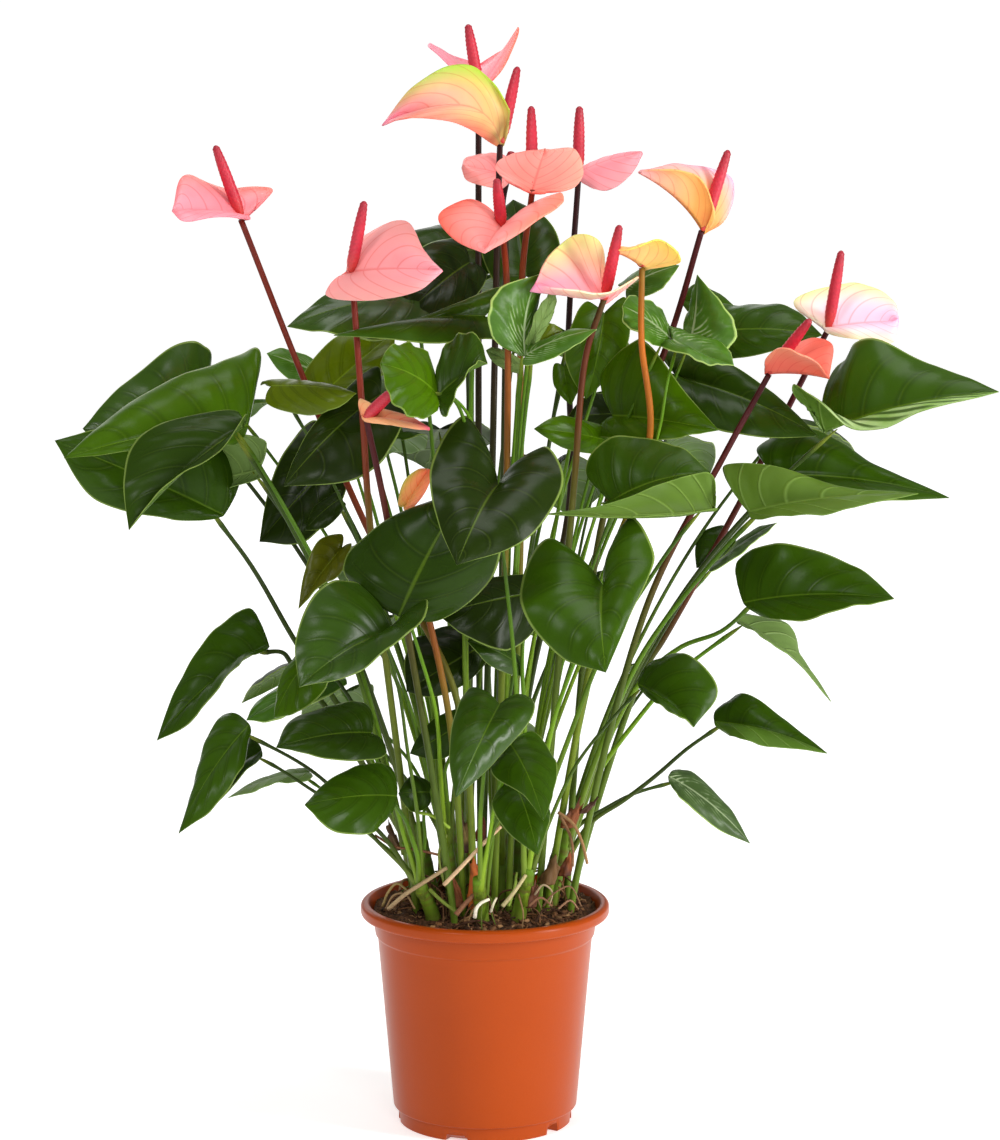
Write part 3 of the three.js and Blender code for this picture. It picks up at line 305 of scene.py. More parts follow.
def unit(vector):
    return vector / max(np.linalg.norm(vector), 1e-9)


def blend(a, b, t):
    """Between a and b, for one t or for a row of them."""
    t = np.asarray(t, float)[..., None]
    return a * (1 - t) + b * t


def smooth_through(points):
    """A curve through the points, where k = 0, 1, 2 ... are the points themselves."""
    points = np.array(points)
    last = len(points) - 1
    steps = np.diff(points, axis=0)
    gaps = np.sqrt(np.maximum(1, np.linalg.norm(steps, axis=1)))
    slopes = steps / gaps[:, None]
    tangents = np.empty_like(points)
    tangents[0] = slopes[0]
    tangents[last] = slopes[-1]
    for i in range(1, last):
        tangents[i] = (slopes[i - 1] * gaps[i] + slopes[i] * gaps[i - 1]) / (gaps[i - 1] + gaps[i])

    def curve(k):
        k = np.asarray(k, float)
        i = np.minimum(last - 1, k.astype(int))
        t = (k - i)[..., None]
        gap = gaps[i][..., None]
        place = points[i] * (2 * t**3 - 3 * t**2 + 1) + points[i + 1] * (3 * t**2 - 2 * t**3)
        return place + gap * (tangents[i] * (t**3 - 2 * t**2 + t) + tangents[i + 1] * (t**3 - t**2))

    return curve


class Blade:
    """A leaf's or spathe's shape: its midrib, and each margin as a smooth curve."""

    def __init__(self, attach, tip, left, right, arch, stations):
        self.start = seen(attach)
        self.end = seen(tip)
        self.length = np.linalg.norm(self.end - self.start)
        self.arch = arch
        self.stations = stations
        sides = {"left": left, "right": right}
        widest = {}
        for side, row in sides.items():
            point = row[2] if len(row) > 2 else row[1]
            widest[side] = seen([point[0], point[1], row[0]])
        self.normal = unit(np.cross(widest["right"] - widest["left"], self.end - self.start))
        self.margins = {}
        for side, row in sides.items():
            step = widest[side] - self.midrib(stations[1][1])
            knots = []
            for i, (u, v) in enumerate(stations):
                point = self.midrib(v) + step * u
                if len(row) > 2 and i != 1:
                    x, z, depth = (*row[1 + i], point[1])[:3]
                    point = seen([x, z, depth])
                knots.append(point)
            self.margins[side] = smooth_through([self.start, *knots, self.end])

    def midrib(self, v):
        v = np.asarray(v, float)
        rise = np.where(v > 0, self.arch * 4 * v * (1 - v), 0)
        return blend(self.start, self.end, v) + self.normal * rise[..., None]

    def rib_at(self, k):
        return np.interp(k, [0, 1, 2, 3, 4], [0, 0, self.stations[1][1], self.stations[2][1], 1])

    def grid(self, rows, bands, swell):
        """The blade's places: rows from its base to its tip, columns from the left margin to the right."""
        k = np.linspace(0, 4, rows + 1)
        share = np.linspace(0, 1, bands + 1)
        share = np.concatenate([share[:-1], [1 - 0.25 / bands, 1]])
        across = np.concatenate([-share[:0:-1], share])
        rib = self.midrib(self.rib_at(k))
        edges = {side: curve(k) for side, curve in self.margins.items()}
        places = np.empty((len(k), len(across), 3))
        for j, u in enumerate(across):
            edge = edges["right" if u > 0 else "left"]
            places[:, j] = blend(rib, edge, abs(u)) + self.normal * swell * 4 * abs(u) * (1 - abs(u))
        width = np.stack([np.linalg.norm(edges[side] - rib, axis=1) for side in ("left", "right")], axis=1)
        return k, across, places, width


def catmull(points, t):
    """Points on a centripetal curve through the given points, for t from 0 to 1."""
    points = np.array(points, float)
    count = len(points)
    ends = [2 * points[0] - points[1], 2 * points[-1] - points[-2]]
    padded = np.vstack([ends[0], points, ends[1]])
    place = np.asarray(t, float) * (count - 1)
    i = np.minimum(place.astype(int), count - 2)
    w = (place - i)[:, None]
    p0, p1, p2, p3 = (padded[i + j] for j in range(4))
    gap = [np.linalg.norm(b - a, axis=1, keepdims=True) ** 0.5 for a, b in ((p0, p1), (p1, p2), (p2, p3))]
    into = ((p1 - p0) / gap[0] - (p2 - p0) / (gap[0] + gap[1]) + (p2 - p1) / gap[1]) * gap[1]
    out = ((p2 - p1) / gap[1] - (p3 - p1) / (gap[1] + gap[2]) + (p3 - p2) / gap[2]) * gap[1]
    cubic = 2 * p1 - 2 * p2 + into + out
    square = -3 * p1 + 3 * p2 - 2 * into - out
    return p1 + into * w + square * w**2 + cubic * w**3


def srgb(red, green, blue):
    """A colour read as 0 to 255, in the linear light that shaders use."""
    values = np.array([red, green, blue]) / 255
    return np.where(values <= 0.04045, values / 12.92, ((values + 0.055) / 1.055) ** 2.4)


def paint(red, green, blue):
    """The same colour as four plain numbers, for a shader's socket."""
    return (*[float(value) for value in srgb(red, green, blue)], 1.0)


def add_object(name, data):
    made = bpy.data.objects.new(name, data)
    bpy.context.scene.collection.objects.link(made)
    return made


class Piece:
    """Gathers one object's points and faces, with two marks and a tint at each face corner."""

    def __init__(self, name):
        self.name = name
        self.points = []
        self.count = 0
        self.faces = []
        self.looks = []
        self.marks = []
        self.tints = []
        self.materials = []

    def add_points(self, points):
        """Returns the number of the first new point."""
        first = self.count
        self.points.append(points)
        self.count += len(points)
        return first

    def add_faces(self, first, faces, marks, tints, material):
        """marks and tints hold one row for each corner of each face, in the faces' order."""
        if material not in self.materials:
            self.materials.append(material)
        self.faces.extend(tuple(i + first for i in face) for face in faces)
        self.looks.extend([self.materials.index(material)] * len(faces))
        self.marks.append(marks)
        self.tints.append(tints)

    def finish(self, slot, *nodes):
        mesh = bpy.data.meshes.new(self.name)
        mesh.from_pydata(np.concatenate(self.points) * MM, [], self.faces)
        for material in self.materials:
            mesh.materials.append(material)
        mesh.polygons.foreach_set("material_index", self.looks)
        mesh.polygons.foreach_set("use_smooth", [True] * len(self.faces))
        marks = np.concatenate(self.marks)
        mesh.uv_layers.new(name="marks").data.foreach_set("uv", marks.astype(np.float32).ravel())
        tints = np.ones((len(marks), 4), np.float32)
        tints[:, :3] = np.concatenate(self.tints)
        colours = mesh.color_attributes.new(name="tint", type="FLOAT_COLOR", domain="CORNER")
        colours.data.foreach_set("color", tints.ravel())
        mesh.update()
        piece = add_object(self.name, mesh)
        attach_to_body(piece, "root")
        if nodes:
            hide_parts(*nodes)


def grid_faces(rows, columns):
    """The four corners of each cell in a grid of points. A cell faces columns x rows: a blade's top."""
    r, c = np.meshgrid(np.arange(rows - 1), np.arange(columns - 1), indexing="ij")
    corners = [(r, c), (r, c + 1), (r + 1, c + 1), (r + 1, c)]
    return np.stack([(a * columns + b).ravel() for a, b in corners], axis=1)


def distinct(face):
    """The positions in a face whose corners are not repeats of the one before."""
    return [i for i in range(len(face)) if face[i] != face[i - 1]]


def add_sheet(piece, places, thickness, marks, tints, looks, relief=None):
    """A thin closed body: a sheet of places with its underside, joined round the margins.

    marks are the rows' and the columns' own values, and looks are the materials of the top, of the
    underside and of the top's right half."""
    rows, columns = places.shape[:2]
    flat = places.reshape(-1, 3)
    cells = grid_faces(rows, columns)
    _, first, same = np.unique(np.round(flat, 4), axis=0, return_index=True, return_inverse=True)
    same = same.ravel()

    def corner_normals(points):
        one = points[same[cells[:, 2]]] - points[same[cells[:, 0]]]
        two = points[same[cells[:, 3]]] - points[same[cells[:, 1]]]
        faces = np.cross(one, two)
        normals = np.zeros_like(points)
        for j in range(4):
            np.add.at(normals, same[cells[:, j]], faces)
        return normals / np.maximum(np.linalg.norm(normals, axis=1, keepdims=True), 1e-9)

    points = flat[first]
    if relief is not None:
        points = points + corner_normals(points) * relief.reshape(-1)[first][:, None]
    half = corner_normals(points) * thickness / 2
    marks = np.stack(np.meshgrid(*marks, indexing="ij"), axis=-1).reshape(-1, 2)
    tints = tints.reshape(-1, 3)
    size = len(points)
    start = piece.add_points(np.concatenate([points + half, points - half]))
    right = marks[cells, 1].mean(axis=1) > 0
    top, under, top_right = looks
    sides = ((top, 0, ~right), (top_right, 0, right), (under, size, ~right), (under, size, right))
    for look, lift, chosen in sides:
        faces, corners = [], []
        for cell in cells[chosen]:
            if lift:
                cell = cell[::-1]
            keep = distinct(same[cell])
            if len(keep) > 2:
                faces.append([same[cell[i]] + lift for i in keep])
                corners.extend(cell[i] for i in keep)
        piece.add_faces(start, faces, marks[corners], tints[corners], look)
    faces, corners = [], []
    last = (rows - 1) * columns
    edges = [(r * columns, (r + 1) * columns) for r in range(rows - 1)]
    edges += [((r + 2) * columns - 1, (r + 1) * columns - 1) for r in range(rows - 1)]
    edges += [(c + 1, c) for c in range(columns - 1)]
    edges += [(last + c, last + c + 1) for c in range(columns - 1)]
    for a, b in edges:
        if same[a] != same[b]:
            faces.append([same[a], same[b], same[b] + size, same[a] + size])
            corners.extend([a, b, b, a])
    piece.add_faces(start, faces, marks[corners], tints[corners], top)


def frames_along(places):
    """Two directions across a line at each of its places, turning as little as they can."""
    along = np.gradient(places, axis=0)
    along /= np.maximum(np.linalg.norm(along, axis=1, keepdims=True), 1e-9)
    side = np.array([1.0, 0.0, 0.0])
    if abs(along[0] @ side) > 0.9:
        side = np.array([0.0, 1.0, 0.0])
    first, second = [], []
    for direction in along:
        side = unit(side - direction * (side @ direction))
        first.append(side)
        second.append(np.cross(direction, side))
    return np.array(first), np.array(second)


def add_rings(piece, points, tints, material, closed=False):
    """A body skinned over rings of points: its ends are capped, or its last ring joins its first."""
    rows, sides = points.shape[:2]
    shares = np.linspace(0, 1, rows)
    faces, marks, colours = [], [], []
    for r in range(rows if closed else rows - 1):
        s = (r + 1) % rows
        if closed and not points[[r, s], :, :2].any():
            continue
        for c in range(sides):
            d = (c + 1) % sides
            faces.append((r * sides + c, r * sides + d, s * sides + d, s * sides + c))
            marks.extend([(shares[r], c / sides), (shares[r], (c + 1) / sides),
                          (shares[s], (c + 1) / sides), (shares[s], c / sides)])
            colours.extend([tints[r], tints[r], tints[s], tints[s]])
    if not closed:
        for row, order in ((0, range(sides - 1, -1, -1)), (rows - 1, range(sides))):
            faces.append(tuple(row * sides + c for c in order))
            marks.extend([(shares[row], 0.5)] * sides)
            colours.extend([tints[row]] * sides)
    first = piece.add_points(points.reshape(-1, 3))
    piece.add_faces(first, faces, np.array(marks), np.array(colours), material)


def add_tube(piece, places, radius, sides, tints, material):
    """A closed round body along the places. radius is a number for each place, or a grid of them."""
    one, two = frames_along(places)
    turn = np.linspace(0, 2 * math.pi, sides, endpoint=False)
    out = one[:, None] * np.cos(turn)[None, :, None] + two[:, None] * np.sin(turn)[None, :, None]
    radius = np.asarray(radius, float).reshape(len(places), -1, 1)
    add_rings(piece, places[:, None] + out * radius, tints, material)


def add_strand(piece, points, widths, count, sides, colour):
    """A thin tube of one colour, smooth through the points, with a width for each end."""
    places = catmull(points, np.linspace(0, 1, count))
    add_tube(piece, places, np.linspace(*widths, count), sides, np.tile(colour, (count, 1)), LITTER)


def lathe(piece, profile, turns, tint, material):
    """A body turned round the upright axis from a closed line of [radius, height]."""
    profile = np.array(profile, float)
    angle = np.linspace(0, 2 * math.pi, turns, endpoint=False)
    points = np.empty((len(profile), turns, 3))
    points[:, :, 0] = profile[:, :1] * np.cos(angle)
    points[:, :, 1] = profile[:, :1] * np.sin(angle)
    points[:, :, 2] = profile[:, 1:]
    add_rings(piece, points, np.tile(srgb(*tint), (len(profile), 1)), material, closed=True)


class Value:
    """What a shader's node gives out, which can be added to, subtracted from and multiplied."""

    def __init__(self, shader, socket):
        self.shader = shader
        self.socket = socket

    def __add__(self, other):
        return self.shader.math("ADD", self, other)

    def __sub__(self, other):
        return self.shader.math("SUBTRACT", self, other)

    def __mul__(self, other):
        return self.shader.math("MULTIPLY", self, other)


class Shader:
    """A material's node tree, with short calls for the nodes that it needs."""

    def __init__(self, name):
        self.material = bpy.data.materials.new(name)
        self.material.use_nodes = True
        self.tree = self.material.node_tree
        self.surface = self.tree.nodes["Principled BSDF"]
        self.place = self.node("ShaderNodeTexCoord", "Object")
        self.tint = self.node("ShaderNodeAttribute", "Color", attribute_name="tint")
        marks = self.node("ShaderNodeUVMap", "UV", uv_map="marks")
        self.along = self.node("ShaderNodeSeparateXYZ", "X", {0: marks})
        self.across = self.node("ShaderNodeSeparateXYZ", "Y", {0: marks})

    def node(self, kind, output, inputs=(), **settings):
        """Adds a node with its settings and its inputs, and returns one of its outputs."""
        node = self.tree.nodes.new(kind)
        for name, value in settings.items():
            setattr(node, name, value)
        self.fill(node, inputs)
        return Value(self, node.outputs[output])

    def fill(self, node, inputs):
        """Links a Value to its socket, and sets a plain number or colour on it."""
        for name, value in dict(inputs).items():
            if isinstance(value, Value):
                self.tree.links.new(value.socket, node.inputs[name])
            else:
                node.inputs[name].default_value = value

    def math(self, operation, a, b=0.0):
        return self.node("ShaderNodeMath", 0, {0: a, 1: b}, operation=operation)

    def fade(self, value, start, end, kind="SMOOTHSTEP"):
        """0 where value is start, 1 where it is end, smooth between them."""
        inputs = {"Value": value, "From Min": start, "From Max": end}
        return self.node("ShaderNodeMapRange", "Result", inputs, interpolation_type=kind)

    def scaled(self, value, low, high):
        """A value from 0 to 1 moved into the range from low to high."""
        return value * (high - low) + low

    def noise(self, scale, detail, stretch=None):
        vector = self.place
        if stretch:
            vector = self.node("ShaderNodeMapping", "Vector", {"Vector": self.place, "Scale": stretch})
        return self.node("ShaderNodeTexNoise", "Fac", {"Vector": vector, "Scale": scale, "Detail": detail})

    def mix(self, factor, a, b, kind="MIX"):
        inputs = {"Factor": factor, "A": a, "B": b}
        return self.node("ShaderNodeMix", "Result", inputs, data_type="RGBA", blend_type=kind)

    def shade(self, colour, amount):
        """A colour made darker or lighter by a grey amount."""
        grey = {"Red": amount, "Green": amount, "Blue": amount}
        return self.mix(1.0, colour, self.node("ShaderNodeCombineColor", "Color", grey), "MULTIPLY")

    def bump(self, height, distance, strength):
        inputs = {"Strength": strength, "Distance": distance, "Height": height}
        self.fill(self.surface, {"Normal": self.node("ShaderNodeBump", "Normal", inputs)})

    def done(self, colour, roughness, specular, more=()):
        inputs = {"Base Color": colour, "Roughness": roughness, "Specular IOR Level": specular}
        self.fill(self.surface, {**inputs, **dict(more)})
        return self.material


def vein_lines(shader, count, lean):
    """How far a place is from the midrib, and how near to a vein: 0.5 on it. Veins lean to the tip."""
    out = shader.math("ABSOLUTE", shader.across)
    bent = shader.along - shader.math("POWER", out, VEINS["bend"]) * lean
    near = shader.math("ABSOLUTE", shader.math("FRACT", bent * count) - 0.5)
    return out, near


def midrib_line(shader, out, edge, core):
    """1 along the midrib, from where the blade has widened."""
    return shader.fade(out, edge, core) * shader.fade(shader.along, 0.9, 1.1)


def leaf_top(name, gloss):
    shader = Shader(name)
    out, near = vein_lines(shader, VEINS["count"], VEINS["lean"])
    inner = shader.fade(out, 0.97, 0.6)
    vein = shader.fade(near, 0.44, 0.5) * inner
    # Painted shade: a darker band beside each vein, standing in for the shade that falls in the creases
    # along the veins.
    crease_shade = shader.fade(near, 0.3, 0.44) * inner
    rib = midrib_line(shader, out, 0.035, 0.008)
    margin = shader.fade(out, 0.96, 0.985)
    pale = shader.mix(0.4, shader.shade(shader.tint, 2.0), paint(128, 156, 44))
    colour = shader.shade(shader.tint, shader.scaled(shader.noise(22.0, 4.0), 0.72, 1.3))
    # The painted shade darkens the creases along the veins to half the leaf's colour.
    colour = shader.mix(crease_shade * 0.45, colour, shader.shade(shader.tint, 0.5))
    colour = shader.mix(vein * 0.12, colour, pale)
    colour = shader.mix(rib * 0.5, colour, pale)
    colour = shader.mix(margin * 0.75, colour, paint(128, 150, 70))
    lines = shader.math("MAXIMUM", vein * 0.5, rib)
    shader.bump(shader.noise(260.0, 2.0) * 0.1 - lines, 0.0003, 0.5)
    return shader.done(colour, shader.scaled(shader.noise(35.0, 2.0), 0.2, 0.36), gloss)


def leaf_under():
    shader = Shader("leaf_under")
    out, near = vein_lines(shader, VEINS["count"], VEINS["lean"])
    rib = midrib_line(shader, out, 0.06, 0.015)
    lines = shader.math("MAXIMUM", shader.fade(near, 0.41, 0.5), rib)
    tone = shader.noise(30.0, 4.0)
    light = shader.mix(0.3, shader.shade(shader.tint, 1.6), paint(102, 134, 46))
    pale = shader.mix(0.5, shader.shade(light, 1.6), paint(146, 172, 90))
    colour = shader.shade(light, shader.scaled(tone, 0.75, 1.25))
    colour = shader.mix(lines * 0.5, colour, pale)
    colour = shader.mix(shader.fade(out, 0.965, 0.995) * 0.5, colour, pale)
    shader.bump(lines, 0.0008, 0.8)
    return shader.done(colour, shader.scaled(tone, 0.42, 0.6), 0.2)


def leaf_striped():
    """The pale underside of a leaf, with a dark stripe along each vein."""
    shader = Shader("leaf_striped")
    out, near = vein_lines(shader, count=2.6, lean=0.8)
    patch = shader.fade(shader.noise(50.0, 3.0), 0.3, 0.7)
    pale = shader.mix(patch, paint(128, 164, 78), paint(176, 200, 136))
    stripe = shader.fade(near, 0.12, 0.4) * shader.fade(out, 1.0, 0.85)
    shader.bump(shader.fade(near, 0.3, 0.5), 0.0006, 0.6)
    return shader.done(shader.mix(stripe * 0.9, pale, shader.tint), 0.4, 0.2)


def leaf_young():
    """A young leaf: fresh green, with fine pale streaks beside its midrib and a pale margin."""
    shader = Shader("leaf_young")
    out, near = vein_lines(shader, count=3.6, lean=1.8)
    patch = shader.noise(110.0, 4.0)
    streaked = shader.fade(out, 0.9, 0.2) * shader.fade(patch, 0.4, 0.62)
    streaked = streaked * shader.fade(shader.along, 3.6, 1.6)
    rib = shader.fade(out, 0.07, 0.02)
    lines = shader.math("MAXIMUM", shader.fade(near, 0.2, 0.5) * streaked, rib * 0.7)
    colour = shader.shade(shader.tint, shader.scaled(patch, 0.55, 1.5))
    colour = shader.mix(lines * 0.8, colour, paint(184, 200, 156))
    colour = shader.mix(shader.fade(out, 0.94, 0.98), colour, paint(160, 186, 100))
    shader.bump(lines, 0.0005, 0.6)
    return shader.done(colour, 0.34, 0.25)


def stem_skin():
    shader = Shader("stem_skin")
    streak = shader.noise(700.0, 2.0, (1, 1, 0.06))
    tone = shader.noise(45.0, 3.0)
    colour = shader.shade(shader.tint, shader.scaled(streak, 0.82, 1.2))
    colour = shader.shade(colour, shader.scaled(tone, 0.75, 1.25))
    shader.bump(streak, 0.0002, 0.5)
    return shader.done(colour, shader.scaled(tone, 0.3, 0.5), 0.16)


def spathe_skin():
    shader = Shader("spathe_skin")
    out, near = vein_lines(shader, count=2.3, lean=0.9)
    rib = midrib_line(shader, out, 0.05, 0.0)
    lines = shader.math("MAXIMUM", shader.fade(near, 0.41, 0.5), rib)
    blotch = shader.noise(40.0, 4.0)
    deeper = shader.mix(1.0, shader.tint, paint(236, 120, 118), "MULTIPLY")
    colour = shader.shade(shader.tint, shader.scaled(blotch, 0.94, 1.08))
    colour = shader.mix(lines * 0.42, colour, deeper)
    colour = shader.mix(shader.fade(blotch, 0.5, 0.8) * 0.22, colour, deeper)
    shader.bump(lines, 0.0001, 0.15)
    glow = {"Subsurface Weight": 0.25, "Subsurface Radius": (1.0, 0.5, 0.4), "Subsurface Scale": 0.004}
    return shader.done(colour, shader.scaled(blotch, 0.34, 0.48), 0.26, glow)


def grained_skin(name, scale, detail, shades, relief, roughness, specular):
    """A skin in the tint of its piece, with a fine grain in its colour and its surface."""
    shader = Shader(name)
    grain = shader.noise(scale, detail)
    shader.bump(grain, *relief)
    return shader.done(shader.shade(shader.tint, shader.scaled(grain, *shades)), roughness, specular)


def papery_skin():
    shader = Shader("papery_skin")
    fibre = shader.noise(500.0, 4.0, (1, 1, 0.1))
    blotch = shader.fade(shader.noise(60.0, 3.0), 0.45, 0.7)
    colour = shader.shade(shader.tint, shader.scaled(fibre, 0.5, 1.5))
    shader.bump(fibre, 0.0006, 0.8)
    return shader.done(shader.mix(blotch, colour, paint(64, 34, 20)), 0.65, 0.3)


def soil_skin():
    shader = Shader("soil_skin")
    coarse = shader.noise(90.0, 6.0)
    fine = shader.noise(420.0, 5.0)
    colour = shader.mix(shader.fade(fine, 0.3, 0.7), paint(48, 30, 19), paint(122, 84, 58))
    colour = shader.mix(shader.fade(coarse, 0.45, 0.7), colour, paint(72, 46, 30))
    shader.bump(coarse + fine, 0.002, 1.0)
    return shader.done(colour, 0.95, 0.2)


def pot_skin():
    shader = Shader("pot_skin")
    cloud = shader.noise(9.0, 3.0)
    grain = shader.noise(900.0, 2.0)
    rings = shader.noise(260.0, 2.0, (0.02, 0.02, 1.0))
    colour = shader.mix(cloud, paint(158, 60, 6), paint(170, 68, 8))
    colour = shader.shade(colour, shader.scaled(grain, 0.95, 1.05))
    shader.bump(grain * 0.5 + rings, 0.00012, 0.5)
    return shader.done(colour, shader.scaled(cloud, 0.26, 0.36), 0.17)


def floor_skin():
    """A pale floor that glows more the further it lies from the plant."""
    shader = Shader("studio_floor")
    distance = shader.node("ShaderNodeVectorMath", "Value", {0: shader.place}, operation="LENGTH")
    glow = shader.scaled(shader.fade(distance, 1, 5, "LINEAR"), 0.5, 0.8)
    light = {"Emission Color": (1, 1, 1, 1), "Emission Strength": glow}
    return shader.done((0.9, 0.9, 0.9, 1), 0.9, 0.0, light)


LEAF_TOP = leaf_top("leaf_top", 0.11)
LEAF_GLOSSY = leaf_top("leaf_glossy", 0.24)
LEAF_UNDER = leaf_under()
LEAF_STRIPED = leaf_striped()
LEAF_YOUNG = leaf_young()
STEM = stem_skin()
SPATHE = spathe_skin()
SPADIX_SKIN = grained_skin("spadix_skin", 500.0, 2.0, (0.75, 1.3), (0.0003, 0.5), 0.45, 0.45)
PAPERY = papery_skin()
SOIL_SKIN = soil_skin()
LITTER = grained_skin("litter_skin", 600.0, 3.0, (0.6, 1.4), (0.0004, 0.6), 0.85, 0.2)
POT_SKIN = pot_skin()

# The colour of each kind of leaf, and the skin of its top.
LEAF_KINDS = {
    "dark": [(28, 42, 5), LEAF_TOP],
    "deep": [(38, 60, 6), LEAF_TOP],
    "green": [(48, 76, 6), LEAF_TOP],
    "glossy": [(44, 70, 8), LEAF_GLOSSY],
    "bright": [(60, 92, 2), LEAF_TOP],
    "light": [(56, 78, 12), LEAF_UNDER],
    "olive": [(82, 98, 6), LEAF_TOP],
    "pale": [(86, 106, 58), LEAF_UNDER],
    "bronze": [(78, 82, 8), LEAF_TOP],
    "young": [(66, 106, 20), LEAF_YOUNG],
    "grey": [(64, 86, 42), LEAF_YOUNG],
}
# Leaves whose right half shows another skin, and leaves whose margin ripples more than others do.
RIGHT_HALVES = {"right_upper": LEAF_STRIPED, "right_low_mid": LEAF_UNDER}
CRUMPLED = {
    "crumpled_left": 3.5, "crumpled_right": 3.5, "twisted": 2, "twisted_right": 2, "twisted_star": 2,
    "small_hanging": 3, "upper_small": 3, "young_wing": 3,
}

# The colours of stems, from the soil to the blade. Their darker colours near the blade are painted shade
# from the leaves above.
PETIOLE_TINTS = [
    [(118, 142, 38), (112, 146, 28), (86, 124, 20), (64, 96, 14)],
    [(108, 128, 42), (94, 128, 26), (72, 106, 18), (58, 86, 14)],
    [(98, 114, 42), (84, 110, 28), (56, 78, 18), (48, 68, 14)],
    [(104, 120, 46), (60, 76, 24), (42, 56, 16), (50, 70, 14)],
]
KNUCKLE_TINT = (122, 132, 34)
# The leaves whose stalk has the last and darkest of these colours.
DARK_STALKS = [
    "left_dark", "left_glossy", "left_low_big", "left_low_second", "left_low_third", "left_pale",
    "left_inner", "right_low_mid", "right_low_bottom", "right_middle_dark", "right_upper",
    "left_mid_green", "upper_dark",
]
RUST = [(104, 130, 36), (92, 98, 30), (112, 50, 26), (122, 42, 26), (104, 34, 24)]
MAROON = [(100, 126, 36), (70, 86, 28), (84, 36, 24), (72, 20, 22), (58, 12, 16)]
DARK = [(96, 122, 34), (58, 76, 24), (48, 34, 20), (40, 20, 18), (48, 16, 18)]
ORANGE = [(106, 132, 34), (96, 110, 30), (134, 76, 24), (128, 52, 22), (110, 38, 22)]
AMBER = [(106, 132, 34), (104, 116, 32), (150, 90, 24), (172, 92, 24), (120, 92, 30)]
BROWN = [(98, 124, 34), (76, 92, 28), (96, 50, 24), (84, 36, 20), (74, 60, 24)]
STALK_TINTS = [
    DARK, DARK, ORANGE, DARK, ORANGE, DARK, MAROON, MAROON, MAROON, RUST, RUST, BROWN, AMBER, MAROON,
    ORANGE,
]


def stops(colours, count):
    """A row of colours that passes smoothly through the given ones."""
    values = np.array([srgb(*colour) for colour in colours])
    place = np.linspace(0, len(colours) - 1, count)
    return np.stack([np.interp(place, range(len(colours)), values[:, i]) for i in range(3)], axis=1)


def leaf_relief(k, across, width, chance, crumple=1):
    """How far a leaf's surface rises: each half is arched, puffed between its veins and waved outwards."""
    out = np.abs(across)[None, :]
    side = (across > 0).astype(int)
    half = width[:, side]
    along = k[:, None]

    def swing(cycles, shift):
        return np.sin(2 * math.pi * (along * cycles + chance.random()) + shift * side)

    arch = RELIEF["arch"] * half * np.sin(math.pi * out) * chance.uniform(0.5, 1.3)
    bent = along - VEINS["lean"] * out ** VEINS["bend"]
    between = np.abs(np.sin(math.pi * (bent * VEINS["count"] + 0.5)))
    puff = RELIEF["puff"] * (between**0.7 * out * (1.2 - out) * np.minimum(1, half / 25))
    wave = RELIEF["wave"] * half * out**2 * swing(0.6, 2.6)
    ripple = RELIEF["ripple"] * half * out**3 * swing(1.6, 1.7)
    curl = RELIEF["curl"] * half * out**5 * chance.uniform(-0.3, 1)
    return arch + puff + wave + ripple * crumple - curl


def add_leaf(piece, row):
    name, _, kind, attach, tip, left, right, arch = row[:8]
    chance = random.Random(name)
    blade = Blade(attach, tip, left, right, arch, LEAF_STATIONS)
    rows = int(np.clip(blade.length * 0.7, 24, 60))
    k, across, places, width = blade.grid(rows, bands=9, swell=0)
    top, look = LEAF_KINDS[kind]
    tints = np.broadcast_to(srgb(*top) * chance.uniform(0.88, 1.12), places.shape)
    relief = leaf_relief(k, across, width, chance, CRUMPLED.get(name, 1))
    looks = look, LEAF_UNDER, RIGHT_HALVES.get(name, look)
    add_sheet(piece, places, LEAF_THICKNESS, (k, across), tints, looks, relief)
    return blade


def petiole_places(row, blade, count):
    """The leaf stalk's line, from the cane's top to the underside of the blade."""
    (x, y), top = SHOOTS[row[1] - 1]
    foot = np.array([x, y, SOIL["top"]])
    end = blade.midrib(PETIOLE["blade"]) - blade.normal * 1.4
    outward = unit((end - foot) * [1, 1, 0])
    share = random.Random(row[0] + " foot").uniform(0.15, 0.95)
    start = blend(foot, np.array(top), share) + outward * 2.6
    t = np.linspace(0, 1, count)
    if len(row) > 8:
        return catmull([start, *[seen(point) for point in row[8]], end], t)
    lean, rise = PETIOLE["lean"], PETIOLE["rise"]
    control = start + (end - start) * np.array([lean, lean, rise])
    t = t[:, None]
    return start * (1 - t) ** 2 + control * 2 * t * (1 - t) + end * t**2


def gentle_bends(places, chance, reach):
    """The same line with slight bends in it, and with its ends where they were."""
    t = np.linspace(0, 1, len(places))
    one, two = frames_along(places)
    for side in (one, two):
        bow = chance.uniform(-1, 1) * np.sin(math.pi * t) ** 2
        sway = chance.uniform(-0.6, 0.6) * np.sin(math.pi * t) ** 2 * np.sin(3 * math.pi * t)
        places = places + side * (reach * (bow + sway))[:, None]
    return places


